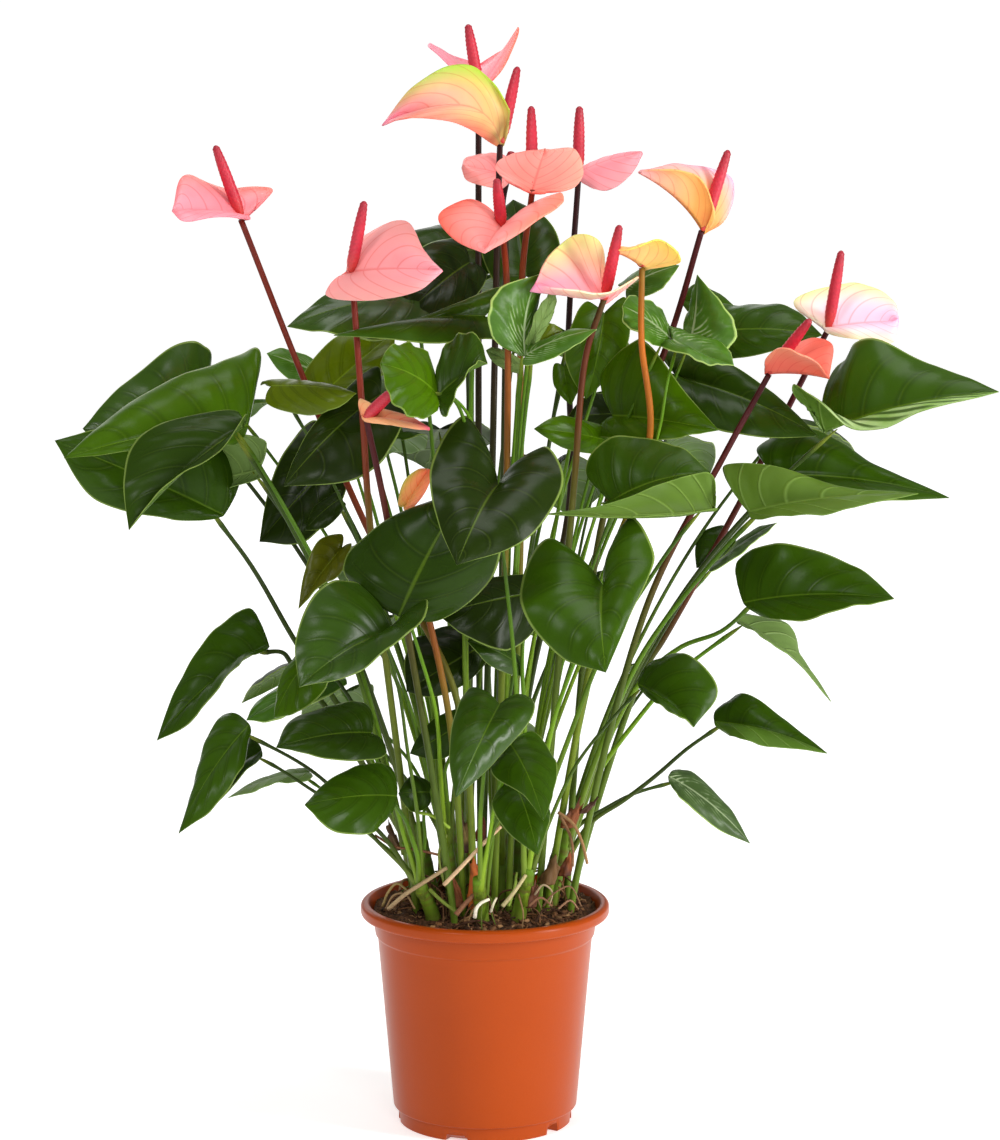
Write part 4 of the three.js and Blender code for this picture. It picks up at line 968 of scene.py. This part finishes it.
def add_petiole(piece, row, blade):
    """A leaf stalk, with a wider foot on its cane and a pale knuckle below the blade."""
    chance = random.Random(row[0] + " stalk")
    count = 28
    places = petiole_places(row, blade, count)
    places = gentle_bends(places, random.Random(row[0] + " bends"), PETIOLE["sway"])
    t = np.linspace(0, 1, count)
    radius = PETIOLE["bottom"] + (PETIOLE["top"] - PETIOLE["bottom"]) * t
    radius = radius * chance.uniform(0.8, 1.1) * np.interp(blade.length, [50, 110], [0.72, 1])
    foot = 0.9 * np.exp(-t / 0.07)
    knuckle = 0.45 * np.exp(-(((t - 0.93) / 0.035) ** 2))
    thinning = 0.8 * np.maximum(0, (t - 0.96) / 0.04)
    radius = radius + foot + knuckle - thinning
    *lighter, dark = PETIOLE_TINTS
    colours = dark if row[0] in DARK_STALKS else chance.choice(lighter)
    # The stalk grows darker towards the blade: painted shade from the leaves above.
    tints = stops(colours, count) * chance.uniform(0.8, 1.2)
    tints[-2:] = blend(tints[-2:], srgb(*KNUCKLE_TINT), 0.6)
    add_tube(piece, places, radius, 9, tints, STEM)


def rooted(base, points, count):
    """A stem's line: straight out of its hole in the soil, and then smoothly through the points."""
    x, y = base
    bottom = np.array([x, y, SOIL["shoulder_top"] - SOIL["hole"]])
    out = np.array([x, y, SOIL["top"] + 2.0])
    line = [bottom, out, *points]
    t = np.concatenate([[0], np.linspace(1 / (len(line) - 1), 1, count)])
    return catmull(line, t)


def make_shoot(number):
    name = f"shoot_{number:02d}"
    blades = Piece(f"{name}_blades")
    stems = Piece(f"{name}_stems")
    for row in LEAVES:
        if row[1] == number:
            add_petiole(stems, row, add_leaf(blades, row))
    base, top = SHOOTS[number - 1]
    count = 18
    t = np.linspace(0, 1, count + 1)
    ring = np.sin(t * CANE["rings"]) ** 8
    radius = CANE["bottom"] + (CANE["top"] - CANE["bottom"]) * t + CANE["ring_height"] * ring
    tints = stops([(112, 122, 48), (96, 130, 28), (92, 128, 24)], count + 1)
    tints = blend(tints, srgb(96, 66, 36), 0.75 * ring)
    add_tube(stems, rooted(base, [np.array(top, float)], count), radius, 14, tints, STEM)
    blades.finish("leaf", name)
    stems.finish("flower_stalk", name)


# Each flower's colours: near the stalk, in the middle, at the tip, and along its left and right margins.
SPATHE_TINTS = [
    [(240, 108, 110), (246, 144, 158), (244, 142, 154), (248, 150, 168), (240, 116, 96)],
    [(108, 144, 28), (216, 172, 112), (244, 132, 160), (156, 192, 54), (234, 120, 100)],
    [(238, 96, 76), (244, 130, 118), (246, 148, 136), (248, 152, 132), (248, 150, 142)],
    [(232, 60, 48), (246, 140, 140), (246, 150, 146), (248, 160, 152), (248, 160, 152)],
    [(238, 104, 90), (248, 152, 146), (246, 140, 138), (246, 142, 116), (234, 96, 76)],
    [(238, 116, 122), (246, 150, 160), (244, 146, 156), (248, 164, 170), (248, 164, 170)],
    [(224, 72, 36), (242, 172, 92), (246, 166, 172), (240, 172, 96), (246, 170, 196)],
    [(228, 236, 130), (250, 206, 222), (248, 176, 206), (230, 238, 158), (246, 232, 186)],
    [(236, 66, 50), (244, 116, 100), (242, 108, 86), (240, 96, 74), (246, 150, 120)],
    [(236, 70, 56), (244, 136, 146), (246, 142, 154), (244, 140, 154), (244, 128, 110)],
    [(244, 122, 108), (248, 156, 156), (248, 152, 164), (248, 160, 154), (248, 166, 160)],
    [(222, 104, 64), (248, 158, 166), (246, 150, 186), (242, 214, 176), (206, 212, 124)],
    [(180, 178, 44), (248, 196, 122), (248, 172, 134), (244, 204, 120), (232, 204, 90)],
    [(222, 60, 54), (244, 176, 124), (210, 76, 104), (244, 186, 130), (244, 172, 120)],
    [(170, 190, 70), (226, 150, 84), (234, 104, 70), (180, 192, 76), (234, 128, 90)],
]
SPADIX_TINT = (184, 30, 52)


def spathe_colours(colours, k, across):
    """Colours that run from the stalk over the middle to the tip, with the margins' own over them."""
    base, middle, tip, left, right = [srgb(*colour) for colour in colours]
    out = np.abs(across)
    along = (k / 4)[:, None]
    reach = np.sqrt(along**2 + (0.45 * out)[None, :] ** 2)
    colour = blend(base, middle, np.clip(reach / 0.42, 0, 1))
    colour = blend(colour, tip, np.clip(along * 2 - 1 + 0 * out, 0, 1))
    open_part = np.clip(k / 1.2, 0, 1) * np.clip((4 - k) / 1.5, 0, 1)
    edge = (np.clip((out - 0.3) / 0.7, 0, 1) ** 1.4 * open_part[:, None])[..., None]
    margin = np.where((across > 0)[:, None], right, left)
    return colour * (1 - edge) + margin[None] * edge


def spadix_radius(t, turn):
    """The spadix swells above its foot and thins to a round tip, covered in small florets."""
    belly = SPADIX["belly_at"]
    rising = np.sin(np.minimum(t / belly, 1) * math.pi / 2)
    falling = ((np.maximum(t, belly) - belly) / (1 - belly)) ** 3
    radius = SPADIX["base"] + (SPADIX["belly"] - SPADIX["base"]) * rising
    radius = radius + (SPADIX["tip"] - SPADIX["belly"]) * falling
    radius = radius * np.sqrt(np.clip((1.0 - t) / 0.035, 0.02, 1))
    one, other = FLORETS["round"] * turn, FLORETS["along"] * t
    florets = np.abs(np.cos(one + other) * np.cos(one - other))
    return radius * 0.93 + FLORETS["height"] * florets


def make_spathe(number, blade, swell):
    piece = Piece(f"bloom_{number:02d}_spathe")
    k, across, places, width = blade.grid(rows=44, bands=12, swell=swell)
    tints = spathe_colours(SPATHE_TINTS[number - 1], k, across)
    relief = SPATHE_RELIEF * leaf_relief(k, across, width, random.Random(f"spathe {number}"))
    add_sheet(piece, places, SPATHE_THICKNESS, (k, across), tints, (SPATHE, SPATHE, SPATHE), relief)
    piece.finish("spathe", f"spathe_{number:02d}")


def make_stalk(number, head):
    base, via = STALKS[number - 1]
    piece = Piece(f"bloom_{number:02d}_stalk")
    count = 64
    places = rooted(base, [*[seen(point) for point in via], head], count)
    radius = np.linspace(STALK["bottom"], STALK["top"], count + 1)
    add_tube(piece, places, radius, 12, stops(STALK_TINTS[number - 1], count + 1), STEM)
    piece.finish("flower_stalk", f"bloom_stalk_{number:02d}")


def make_spadix(number, foot, tip):
    piece = Piece(f"bloom_{number:02d}_spadix")
    rows, sides = 90, 32
    t = np.linspace(0, 1, rows)
    turn = np.linspace(0, 2 * math.pi, sides, endpoint=False)
    radius = spadix_radius(t[:, None], turn[None, :])
    tints = stops([(196, 60, 50), SPADIX_TINT, SPADIX_TINT, (150, 22, 40)], rows)
    add_tube(piece, blend(foot, tip, t), radius, sides, tints, SPADIX_SKIN)
    piece.finish("spadix", f"spadix_{number:02d}")


def make_bloom(number):
    attach, tip, left, right, arch, swell, spadix_tip = BLOOMS[number - 1]
    blade = Blade(attach, tip, left, right, arch, SPATHE_STATIONS)
    seat = blade.midrib((STALK["top"] + 1) / blade.length)
    lean = unit(seen(spadix_tip) - seat) @ blade.normal
    inner = blade.normal * np.sign(lean)
    gap = SPATHE_THICKNESS / 2 + CLEARANCE
    half = SPADIX["base"] * math.sqrt(max(0, 1 - lean**2))
    foot = seat + inner * (gap + CLEARANCE + half - SPADIX["sunk"])
    make_spathe(number, blade, swell)
    make_stalk(number, seat - inner * (gap - 0.5))
    if number < len(BLOOMS):
        make_spadix(number, foot, seen(spadix_tip))


def rounded(profile, radius, steps=5):
    """The same closed line with each corner rounded, unless the corner lies on the axis."""
    made = []
    for i, corner in enumerate(profile):
        corner = np.array(corner, float)
        before = np.array(profile[i - 1], float)
        after = np.array(profile[(i + 1) % len(profile)], float)
        reach = min(radius, 0.45 * np.linalg.norm(corner - before), 0.45 * np.linalg.norm(after - corner))
        if corner[0] == 0 or reach < 0.05:
            made.append(corner)
            continue
        a = corner + unit(before - corner) * reach
        b = corner + unit(after - corner) * reach
        for t in np.linspace(0, 1, steps):
            made.append(a * (1 - t) ** 2 + corner * 2 * t * (1 - t) + b * t**2)
    return made


def cut_notches(points):
    """Lifts the lowest points of the pot's foot, to open the notches in its edge."""
    radius = np.linalg.norm(points[:, :2], axis=1)
    facing = np.degrees(np.arctan2(points[:, 1], points[:, 0])) % 360
    shelf = POT["shelf"]
    out = np.clip((radius - shelf) / (POT["foot_radius"] - POT["wall"] - shelf), 0, 1)
    for angle, half, height in POT_NOTCHES:
        cut = np.clip((half - np.abs(facing - angle)) / 1.5, 0, 1) * height
        low = (radius > shelf) & (points[:, 2] < min(height, POT["floor"] - 0.5))
        points[low, 2] = np.maximum(points[low, 2], (cut * out)[low])


def make_pot():
    rim, top, foot, floor = POT["rim_radius"], POT["height"], POT["foot_radius"], POT["floor"]
    band, shoulder, wall = POT["band_foot"], POT["band_bottom"], POT["wall"]
    lip = top - POT["rim_depth"]
    outside = [
        [0, 0], [POT["shelf"], 0], [foot, 0], [foot, POT["foot_height"]],
        [POT["body_foot"], POT["foot_height"] + 1], [POT["body_top"], shoulder - 1.4], [band, shoulder],
        [POT["band_top"], lip], [rim - 1, lip], [rim, lip + 1.5], [rim, top - 2], [rim - 2, top],
    ]
    inside = [
        [rim - 5.6, top], [rim - 7.2, top - 3], [POT["band_top"] - wall + 0.6, top - 9],
        [band - wall - 1, shoulder], [foot - wall, floor + 4], [foot - wall - 3, floor], [0, floor],
    ]
    piece = Piece("pot_shell")
    lathe(piece, rounded([*outside, *inside], 1.2), 240, (190, 84, 48), POT_SKIN)
    cut_notches(piece.points[0])
    piece.finish("terracotta_plastic", "pot")


def make_soil():
    """Rough potting soil: a turned body whose top is lifted into crumbs and hollows."""
    bottom = POT["floor"] + CLEARANCE
    inner = POT["foot_radius"] - POT["wall"] - CLEARANCE
    band = POT["band_foot"] - POT["wall"] - CLEARANCE - 1
    profile = [[0, bottom], [inner - 3, bottom], [inner, POT["floor"] + 4], [band, POT["band_bottom"]],
               [band + 1.4, SOIL["edge_top"]]]
    profile += [[radius, soil_height(radius, 0)] for radius in np.linspace(band + 4.6, 0, 58)]
    piece = Piece("soil_body")
    lathe(piece, profile, 150, (70, 42, 30), SOIL_SKIN)
    for point in piece.points[0]:
        if point[2] > SOIL["edge_top"] + 1:
            place = Vector(point)
            lump = noise.fractal(place * 0.11, 1.0, 2.0, 4) * 2.2
            crumb = noise.fractal(place * 0.42, 0.8, 2.0, 3) * 2.4
            point[2] += lump + crumb - 0.6
    piece.finish("soil", "potting_soil")


def soil_height(x, y):
    radius = math.hypot(x, y)
    share = min(1, (SOIL["edge_radius"] - radius) / (SOIL["edge_radius"] - SOIL["shoulder_radius"]))
    return SOIL_TOP["edge"] + (SOIL_TOP["middle"] - SOIL_TOP["edge"]) * max(0, share) ** 0.5


# Fibres that lie on the soil, and longer ones that arch over it: how many, how far out from the pot's axis
# they start and end, knots, length, lift, thickness, sides, how much they turn and thin, and their shades.
LYING = {
    "count": 380, "spread": 70, "reach": 71, "knots": 7, "length": (5, 20), "lift": None, "turn": 0.5,
    "points": 10, "sides": 5, "width": (0.3, 0.9), "thin": 0.4, "shade": (0.7, 1.3),
}
LIFTED = {
    "count": 70, "spread": 62, "reach": 70, "knots": 6, "length": (14, 36), "lift": (1, 7), "turn": 0.6,
    "points": 14, "sides": 6, "width": (0.5, 1.1), "thin": 0.5, "shade": (0.6, 1.2),
}
# The crumbs of bark and root among them.
CRUMBS = {"count": 330, "spread": 70, "size": (1.2, 3.6), "thick": 0.62, "shade": (0.6, 1.2)}
CRUMB_FORM = np.array([0.35, 0.9, 0.8, 0.3])
BROWNS = [(96, 62, 40), (124, 84, 54), (76, 48, 32), (150, 112, 76), (60, 38, 26)]


def tinted(chance, colours, shade):
    return srgb(*chance.choice(colours)) * chance.uniform(*shade)


def scattered(chance, spread):
    """A place on the soil, as likely in one part of the round as in another."""
    radius = spread * math.sqrt(chance.random())
    turn = chance.uniform(0, 2 * math.pi)
    return radius * math.cos(turn), radius * math.sin(turn)


def add_fibres(piece, chance, kind):
    steps = kind["knots"] - 1
    for _ in range(kind["count"]):
        x, y = scattered(chance, kind["spread"])
        heading = chance.uniform(0, 2 * math.pi)
        length = chance.uniform(*kind["length"])
        lift = chance.uniform(*kind["lift"]) if kind["lift"] else None
        line = []
        for i in range(kind["knots"]):
            heading += chance.uniform(-kind["turn"], kind["turn"])
            if lift is None:
                z = soil_height(x, y) + chance.uniform(-0.6, 1.6)
            else:
                z = soil_height(x, y) - 0.6 + lift * math.sin(math.pi * i / steps)
            line.append([x, y, z])
            x += math.cos(heading) * length / steps
            y += math.sin(heading) * length / steps
            if math.hypot(x, y) > kind["reach"]:
                break
        if len(line) < 4:
            continue
        width = chance.uniform(*kind["width"])
        colour = tinted(chance, BROWNS, kind["shade"])
        add_strand(piece, line, (width, width * kind["thin"]), kind["points"], kind["sides"], colour)


def make_litter():
    """Fibres, root bits and bark crumbs that lie on the soil."""
    chance = random.Random(7)
    piece = Piece("soil_litter")
    add_fibres(piece, chance, LYING)
    add_fibres(piece, chance, LIFTED)
    for _ in range(CRUMBS["count"]):
        x, y = scattered(chance, CRUMBS["spread"])
        centre = np.array([x, y, soil_height(x, y) + chance.uniform(-0.8, 0.8)])
        size = chance.uniform(*CRUMBS["size"])
        heading = np.array([chance.gauss(0, 1), chance.gauss(0, 1), chance.gauss(0, 0.4)])
        line = centre + np.linspace(-1, 1, 4)[:, None] * unit(heading) * size
        line += np.array([[chance.gauss(0, 0.3) for _ in range(3)] for _ in range(4)])
        colour = tinted(chance, BROWNS, CRUMBS["shade"])
        radii = CRUMB_FORM * size * CRUMBS["thick"]
        add_tube(piece, line, radii, 6, np.tile(colour, (4, 1)), LITTER)
    piece.finish("soil")


# Brown leaf sheaths and scales round the canes: foot, top, radius at the foot, how far round they reach in
# degrees, where they face, and their colour.
SHEATHS = [
    [[-5, 148, -50], [-9, 198, -46], 5.5, 190, -90, (170, 84, 24)],
    [[-18, 150, -46], [-22, 178, -46], 4.0, 170, -110, (120, 66, 32)],
    [[-15, 188, -40], [-16, 222, -38], 3.6, 200, -90, (150, 124, 70)],
    [[-3, 196, -36], [-3, 218, -36], 3.0, 180, -80, (110, 50, 28)],
    [[54, 172, -24], [58, 192, -26], 4.4, 180, -70, (128, 66, 28)],
    [[56, 206, -22], [64, 230, -26], 5.5, 170, -60, (120, 64, 30)],
    [[66, 216, -20], [76, 228, -28], 4.0, 150, -50, (72, 44, 28)],
    [[42, 166, -34], [50, 192, -34], 5.5, 210, -80, (104, 74, 40)],
    [[30, 150, -44], [34, 172, -46], 5.0, 180, -80, (96, 56, 34)],
    [[-38, 150, -30], [-44, 180, -34], 5.0, 190, -110, (120, 78, 42)],
    [[-60, 190, -10], [-66, 214, -12], 4.0, 170, -120, (96, 70, 40)],
    [[14, 150, 44], [12, 196, 48], 6.0, 200, 90, (150, 80, 38)],
    [[-26, 150, 32], [-30, 192, 38], 5.5, 200, 110, (140, 78, 40)],
    [[46, 150, 26], [54, 186, 30], 5.5, 200, 60, (146, 76, 38)],
]

# Aerial roots and twigs: their points, thickness at each end, and colour.
ROOTS = [
    [[[-66, 148, -36], [-55, 158, -46], [-40, 168, -56], [-26, 177, -58]], 1.6, 1.3, (176, 150, 112)],
    [[[-28, 165, -62], [-14, 180, -66], [-2, 193, -66], [11, 206, -62]], 1.5, 1.2, (206, 172, 134)],
    [[[50, 216, -40], [60, 208, -44], [66, 196, -46], [70, 180, -44]], 1.2, 1.0, (150, 112, 74)],
    [[[51, 214, -36], [58, 200, -42], [60, 190, -46], [60, 178, -46]], 1.1, 0.9, (132, 96, 66)],
    [[[40, 150, -52], [46, 158, -54], [58, 164, -50], [66, 150, -46]], 0.7, 0.5, (120, 88, 62)],
    [[[-7, 142, -66], [-6, 148, -68], [-3, 152, -68], [3, 155, -66]], 1.4, 1.0, (232, 222, 200)],
    [[[4, 146, -62], [6, 152, -64], [8, 156, -62]], 1.0, 0.7, (206, 196, 166)],
    [[[-54, 221, -50], [-46, 216, -52], [-37, 214, -54], [-24, 205, -52]], 1.0, 1.2, (150, 178, 64)],
    [[[-26, 200, -50], [-31, 190, -50], [-31, 180, -48], [-28, 166, -44]], 0.9, 0.8, (128, 140, 64)],
    [[[-75, 200, -40], [-62, 192, -44], [-48, 190, -46], [-31, 186, -44]], 0.8, 0.9, (128, 84, 58)],
    [[[-20, 144, -66], [-15, 150, -64], [-8, 158, -58]], 1.9, 1.5, (122, 82, 58)],
    [[[-38, 162, -50], [-30, 154, -56], [-20, 146, -60]], 1.3, 1.0, (112, 128, 50)],
    [[[12, 150, -60], [20, 160, -60], [28, 172, -56]], 1.5, 1.2, (182, 168, 122)],
    [[[16, 150, -56], [20, 162, -54], [22, 174, -50]], 1.2, 0.9, (128, 150, 60)],
    [[[-70, 150, -24], [-66, 160, -30], [-60, 166, -34], [-52, 160, -38]], 1.0, 0.8, (150, 128, 80)],
    [[[-68, 148, -30], [-62, 158, -36], [-54, 158, -42], [-48, 148, -44]], 0.8, 0.6, (150, 120, 84)],
    [[[30, 150, -58], [38, 156, -56], [46, 150, -54]], 0.9, 0.7, (120, 84, 60)],
    [[[50, 148, -46], [58, 154, -44], [64, 148, -38]], 0.8, 0.6, (150, 112, 84)],
    [[[34, 158, -50], [40, 165, -52], [46, 160, -52], [44, 150, -54]], 0.8, 0.5, (166, 144, 114)],
    [[[30, 148, 56], [40, 164, 60], [52, 172, 54], [60, 150, 46]], 1.2, 0.9, (150, 112, 84)],
    [[[-40, 148, 50], [-46, 166, 56], [-56, 168, 48], [-60, 150, 40]], 1.2, 0.9, (160, 124, 90)],
    [[[6, 150, 62], [0, 164, 66], [-12, 170, 62], [-18, 152, 58]], 1.0, 0.8, (150, 118, 84)],
]


# The loose fibres at the foot of each cane, and how they fall: the way out and the height of their points,
# as shares of their reach and top. None ends beyond the edge.
FALLEN = {"each": 7, "reach": (8, 17), "top": (6, 26), "edge": 68}
FIBRE_FALL = [(0, 1), (0.4, 0.9), (0.85, 0.4)]
FIBRE_TINTS = [(128, 92, 60), (104, 72, 46), (150, 118, 80), (84, 58, 36), (96, 112, 44)]


def make_sheaths():
    """Torn papery sheaths: each is part of a tube whose upper edge is ragged."""
    piece = Piece("base_sheaths")
    rows, columns = 16, 15
    middle = columns // 2
    for foot, top, radius, reach, facing, tint in SHEATHS:
        foot, top = seen(foot), seen(top)
        chance = random.Random(str(foot))
        t = np.linspace(0, 1, rows)
        angles = np.radians(facing + np.linspace(-reach / 2, reach / 2, columns))
        places = np.empty((len(t), columns, 3))
        for j, angle in enumerate(angles):
            height = 1 - 0.7 * (abs(j - middle) / middle) ** 1.5 - 0.3 * chance.random()
            swell = radius * (1 - 0.3 * t * height + 0.08 * math.sin(j * 1.3))
            swell = swell + 1.1 * np.sin(t * 9 + j) * t
            direction = np.array([math.cos(angle), math.sin(angle), 0])
            places[:, j] = blend(foot, top, t * height) + direction * swell[:, None]
        tints = np.broadcast_to(srgb(*tint), places.shape)
        marks = t, np.linspace(-1, 1, columns)
        add_sheet(piece, places, SHEATH_THICKNESS, marks, tints, (PAPERY, PAPERY, PAPERY))
    piece.finish("flower_stalk")


def make_roots():
    """The aerial roots and twigs, and a few fibres that fall from the foot of each cane to the soil."""
    piece = Piece("aerial_roots")
    for points, first, last, tint in ROOTS:
        add_strand(piece, [seen(point) for point in points], (first, last), 20, 7, srgb(*tint))
    chance = random.Random(21)
    for (x, y), _ in SHOOTS:
        for _ in range(FALLEN["each"]):
            turn = chance.uniform(0, 2 * math.pi)
            out = np.array([math.cos(turn), math.sin(turn), 0])
            reach = chance.uniform(*FALLEN["reach"])
            high = chance.uniform(*FALLEN["top"])
            start = np.array([x, y, SOIL_TOP["middle"]]) + out * 4
            line = [start + out * reach * far + [0, 0, high * rise] for far, rise in FIBRE_FALL]
            line[1:3] = [point + [chance.gauss(0, 1.5), chance.gauss(0, 1.5), 0] for point in line[1:3]]
            line.append(start + out * reach - [0, 0, 1.5])
            if np.hypot(*line[-1][:2]) > FALLEN["edge"]:
                continue
            add_strand(piece, line, (0.75, 0.4), 14, 6, tinted(chance, FIBRE_TINTS, (0.7, 1.2)))
    piece.finish("flower_stalk")


# Each light's place, the height on the plant's axis that it faces, its size and its power.
LIGHTS = {
    "key": [(-1.2, -2.0, 2.2), 0.45, (0.5, 0.9), 20],
    "right": [(2.2, -1.1, 0.9), 0.4, (0.35, 1.8), 54],
    "front": [(0.5, -3.4, 1.8), 0.45, (1.4, 0.6), 25],
    "top": [(0.2, 0.0, 2.7), 0.4, (1.4, 1.2), 26],
    "back": [(-0.8, 2.6, 1.6), 0.4, (2.4, 1.6), 18],
}


def make_lights():
    for name, (place, height, size, power) in LIGHTS.items():
        data = bpy.data.lights.new(name, "AREA")
        data.shape = "RECTANGLE"
        data.size, data.size_y = size
        data.energy = power
        light = add_object(name, data)
        light.location = place
        light.rotation_euler = (Vector((0, 0, height)) - Vector(place)).to_track_quat("-Z", "Y").to_euler()


def make_studio():
    mesh = bpy.data.meshes.new("studio_floor")
    reach = 60
    corners = [(-reach, -reach, 0), (reach, -reach, 0), (reach, reach, 0), (-reach, reach, 0)]
    mesh.from_pydata(corners, [], [(0, 1, 2, 3)])
    mesh.materials.append(floor_skin())
    floor = add_object("studio_floor", mesh)
    world = bpy.data.worlds.new("studio_world")
    world.use_nodes = True
    background = world.node_tree.nodes["Background"]
    background.inputs["Color"].default_value = (1, 1, 1, 1)
    background.inputs["Strength"].default_value = 0.28
    bpy.context.scene.world = world


def make_camera():
    data = bpy.data.cameras.new("camera")
    data.lens = FOCAL
    data.sensor_width = 36
    data.sensor_fit = "AUTO"
    data.clip_end = 60
    camera = add_object("camera", data)
    camera.location = Vector(EYE) * MM
    camera.rotation_euler = (math.radians(90 - PITCH), 0, 0)
    bpy.context.scene.camera = camera


make_camera()
make_studio()
make_lights()
make_pot()
make_soil()
make_litter()
make_sheaths()
make_roots()
for number in range(1, len(SHOOTS) + 1):
    make_shoot(number)
for number in range(1, len(BLOOMS) + 1):
    make_bloom(number)

bpy.context.scene.view_settings.view_transform = "Standard"
